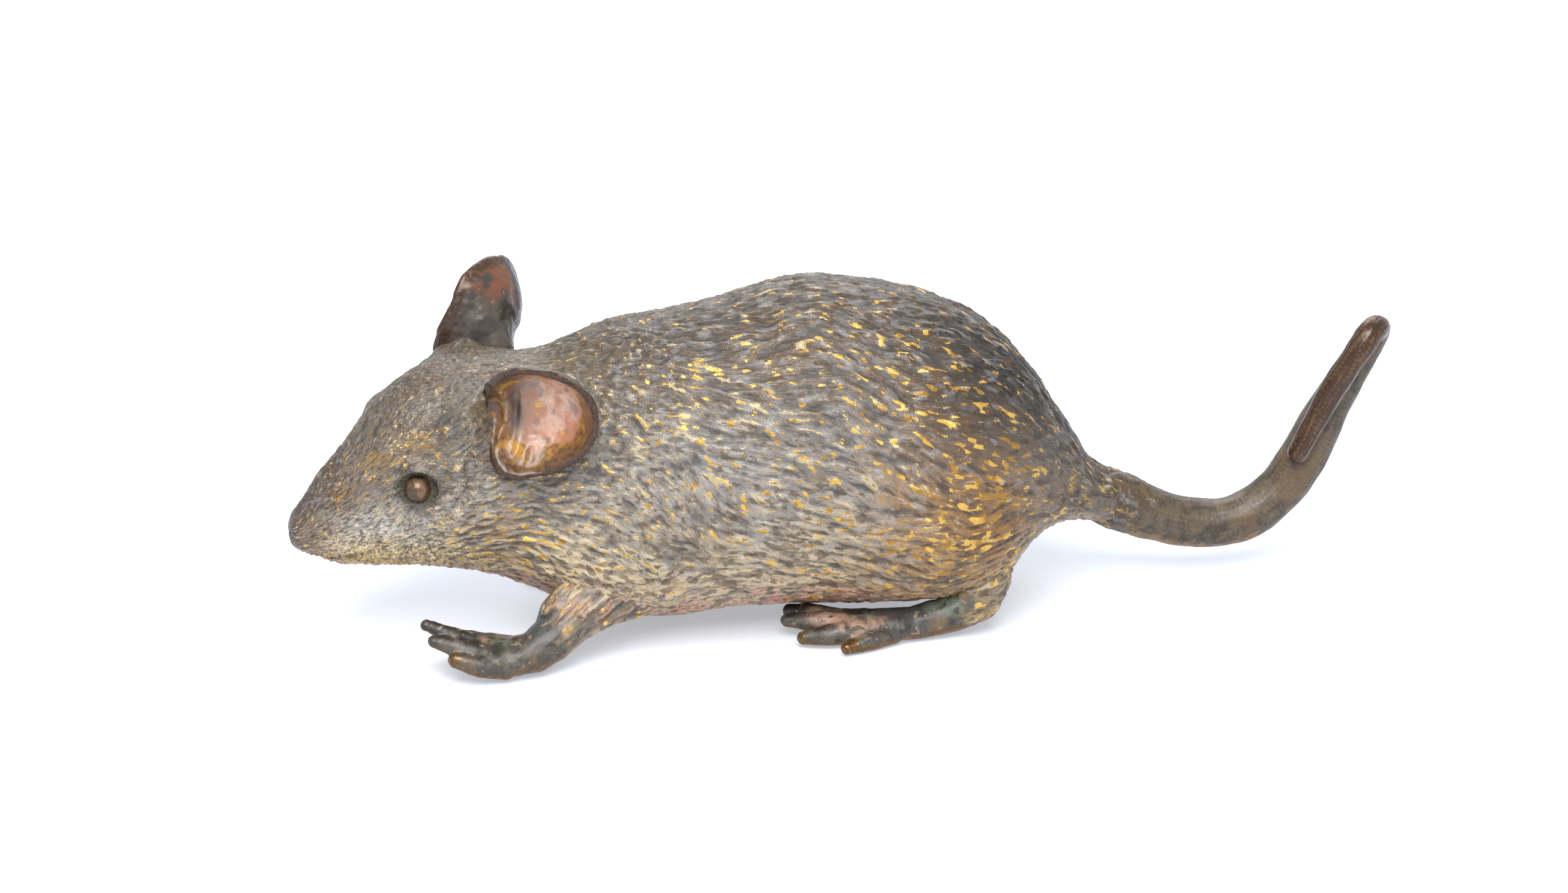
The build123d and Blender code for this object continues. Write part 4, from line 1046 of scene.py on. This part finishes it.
placed(tail_form, places + normals_of(tail_form) * (worn * ends)[:, None])
bmesh.ops.recalc_face_normals(tail_form, faces=tail_form.faces)
root_share = np.clip((7.5 - from_start + 1.2 * blotches(places, 1.4, 2.9)) / 4, 0, 1)
laid_share = np.clip((from_start - tail_length + 18) / 2, 0, 1)
under = np.clip(-normals_of(tail_form)[:, 2], 0, 1)
keep(tail_form, "tail_marks", np.stack([root_share, laid_share, under, from_start / tail_length], -1))
keep(tail_form, "tail_lay", ways[at])
one = np.ones(len(places))
root_coat = np.tile(pigment(72, 59, 43), (len(places), 1))
keep_fur(tail_form, places, ways[at], 1.2 * root_ridge, root_coat, 0.4 * one, 0.15 * one, 0 * one, 0.35 * one)

tail_patina, tree, shader = bare_tree("tail_patina")
root, laid, under, _ = marks_of(tree, "tail_marks")
fine, blotch = specks_of(tree, 0.25, 3.0, 0.6), specks_of(tree, 1.2, 3.0, 0.55)
patch = specks_of(tree, 3.2, 2.0, 0.5)
streak = drawn_grain(tree, 0.35, 2.4, kept_by(tree, "tail_lay")["Vector"])
colour = glazed(tree, (56, 47, 38), blotch, 0.35, 0.65, (84, 72, 56))
colour = glazed(tree, colour, streak, 0.55, 0.8, (104, 90, 66), 0.4)
ochre_cover = weighed(tree, under, 0.45, weighed(tree, blotch, 0.9))
colour = glazed(tree, colour, ochre_cover, 0.68, 0.84, (134, 96, 38), 0.75)
colour = glazed(tree, colour, patch, 0.56, 0.66, (98, 74, 46), 0.5)
colour = over(tree, root, colour, fur_layers(tree)[0])
glossy = glazed(tree, (60, 39, 27), streak, 0.45, 0.85, (88, 61, 38))
colour = over(tree, weighed(tree, laid, 0.9), colour, glossy)
colour = over(tree, 0.3, colour, rise_of(tree, fine, 0.25, 0.75, 0.3, 1.5, "LINEAR"), "MULTIPLY")
join_all(
    tree, shader, Base_Color=colour, Roughness=rise_of(tree, laid, 0.0, 1.0, 0.44, 0.24),
    Metallic=rise_of(tree, laid, 0.0, 1.0, 0.12, 0.35), Normal=bumped(tree, 0.3, 0.05, fine),
)
finished("tail_rod", tail_form, tail_patina, "painted_tail", "tail")

# The core plug in the belly and the four core pins: turned bronze, filed flush with the skin.
# The plug shows underneath, and the pins end just below the chased skin.
filed_bronze, tree, shader = bare_tree("filed_bronze")
dull, file_marks = specks_of(tree, 1.4, 3.0, 0.6), specks_of(tree, 0.12, 2.0, 0.5)
colour = glazed(tree, (112, 82, 46), dull, 0.35, 0.65, (158, 122, 70))
join_all(
    tree, shader, Base_Color=colour, Roughness=rise_of(tree, dull, 0.3, 0.7, 0.34, 0.55),
    Normal=bumped(tree, 0.3, 0.03, file_marks),
)
shader.inputs["Metallic"].default_value = 0.9
coated(filed_bronze, "belly_plug")
pin_stations = (0.50, 0.74)
pin_radius, pin_length, pin_depth, pin_angle = 0.8, 1.4, 0.65, 58.0
pins = bmesh.new()
for pin_station, round_angle in itertools.product(pin_stations, (pin_angle, 180 - pin_angle)):
    at = np.array([pin_station])
    outer = posed(straight_skin(at, np.radians([round_angle])), at)[0]
    inward = np.array([outer[0], 0.0, read_curve(middle_shares, at)[0] * back_height]) - outer
    inward = Vector(inward).normalized()
    middle = Vector(outer) + inward * (pin_depth + pin_length / 2)
    stand = Matrix.Translation(middle) @ inward.to_track_quat("Z", "Y").to_matrix().to_4x4()
    bmesh.ops.create_cone(
        pins, cap_ends=True, segments=48, radius1=pin_radius, radius2=pin_radius, depth=pin_length,
        matrix=stand,
    )
finished("core_pin_stubs", pins, filed_bronze, "bare_bronze", "core_pins")

# The dowels: short lengths of drawn bronze wire inside the roots of the four limbs. Each pins
# its limb to the body wall while it is brazed.
drawn_wire, tree, shader = bare_tree("drawn_bronze_wire")
draw_lines = specks_of(tree, 0.2, 2.0, 0.5)
colour = glazed(tree, (150, 108, 54), draw_lines, 0.3, 0.7, (196, 152, 86))
join_all(tree, shader, Base_Color=colour, Roughness=rise_of(tree, draw_lines, 0.3, 0.7, 0.25, 0.4))
shader.inputs["Metallic"].default_value = 1.0
coated(drawn_wire, "left_foreleg_dowel", "right_foreleg_dowel", "left_hind_dowel", "right_hind_dowel")

# The white table that the mouse stands on, and the plain white room round it. How white both
# look to the eye is set apart from how much light they throw on the figure.
table_half = 3.0
paper_shade, paper_seen = (0.76, 0.80, 0.88, 1.0), (0.54, 0.575, 0.65, 1.0)
glow_shade, glow_strength = (0.92, 0.945, 1.0, 1.0), 0.42
room_shade, room_strength, room_seen_more = (0.91, 0.955, 1.0, 1.0), 0.60, 0.40


def seen_in(tree, *kinds):
    """1 where the table or the room is seen in one of some ways."""
    ways = add(tree, "ShaderNodeLightPath").outputs
    seen = ways[kinds[0]]
    for kind in kinds[1:]:
        seen = greater_of(tree, seen, ways[kind])
    return seen


table_form = bmesh.new()
bmesh.ops.create_grid(table_form, x_segments=1, y_segments=1, size=table_half)
table_mesh = bpy.data.meshes.new("white_table")
table_form.to_mesh(table_mesh)
table_form.free()
white_table = bpy.data.objects.new("white_table", table_mesh)
bpy.context.scene.collection.objects.link(white_table)
table_white = bpy.data.materials.new("table_white")
table_white.use_nodes = True
tree = table_white.node_tree
tree.nodes.clear()
seen = seen_in(tree, "Is Camera Ray", "Is Glossy Ray")
paper = add(tree, "ShaderNodeBsdfDiffuse", {0: over(tree, seen, paper_shade, paper_seen)})
glow = add(tree, "ShaderNodeEmission", {0: glow_shade, 1: weighed(tree, seen, glow_strength)})
both = add(tree, "ShaderNodeAddShader", {0: paper.outputs[0], 1: glow.outputs[0]})
add(tree, "ShaderNodeOutputMaterial", {0: both.outputs[0]})
table_mesh.materials.append(table_white)
room = bpy.data.worlds.new("white_room")
bpy.context.scene.world = room
room.use_nodes = True
tree = room.node_tree
tree.nodes.clear()
seen = seen_in(tree, "Is Camera Ray", "Is Glossy Ray", "Is Transmission Ray")
air = add(tree, "ShaderNodeBackground", {0: room_shade, 1: weighed(tree, seen, room_seen_more, room_strength)})
add(tree, "ShaderNodeOutputWorld", {0: air.outputs[0]})

# Soft daylight: a wide panel in front and above, and a weaker one behind. Places and sizes are
# in metres, and powers in watts.
panel_colour, panel_aim = (1.0, 0.985, 0.96), Vector((0, 0, 0.015))
for name, place, size, power in (
    ("front_panel", (-0.10, -0.42, 0.52), 0.45, 7.0),
    ("back_panel", (0.12, 0.45, 0.50), 0.5, 2.5),
):
    lamp = bpy.data.lights.new(name, "AREA")
    lamp.shape, lamp.size, lamp.energy = "SQUARE", size, power
    lamp.color = panel_colour
    panel = bpy.data.objects.new(name, lamp)
    panel.location = place
    panel.rotation_euler = (panel_aim - Vector(place)).to_track_quat("-Z", "Y").to_euler()
    bpy.context.scene.collection.objects.link(panel)

# The camera, a little in front of the mouse's left side and above it
camera_azimuth, camera_elevation, camera_distance = math.radians(-11.0), math.radians(20.0), 0.420
camera_target = Vector((-5.924, -0.004, 16.5)) * mm
lens_length, sensor_width, nearest, furthest = 101.7, 36.0, 0.01, 20.0
back = Vector((
    math.sin(camera_azimuth) * math.cos(camera_elevation),
    -math.cos(camera_azimuth) * math.cos(camera_elevation),
    math.sin(camera_elevation),
))
lens = bpy.data.cameras.new("photo_camera")
lens.lens, lens.sensor_width = lens_length, sensor_width
lens.clip_start, lens.clip_end = nearest, furthest
camera = bpy.data.objects.new("photo_camera", lens)
camera.location = camera_target + back * camera_distance
camera.rotation_euler = (-back).to_track_quat("-Z", "Y").to_euler()
bpy.context.scene.collection.objects.link(camera)
bpy.context.scene.camera = camera
bpy.context.scene.view_settings.view_transform = "Standard"
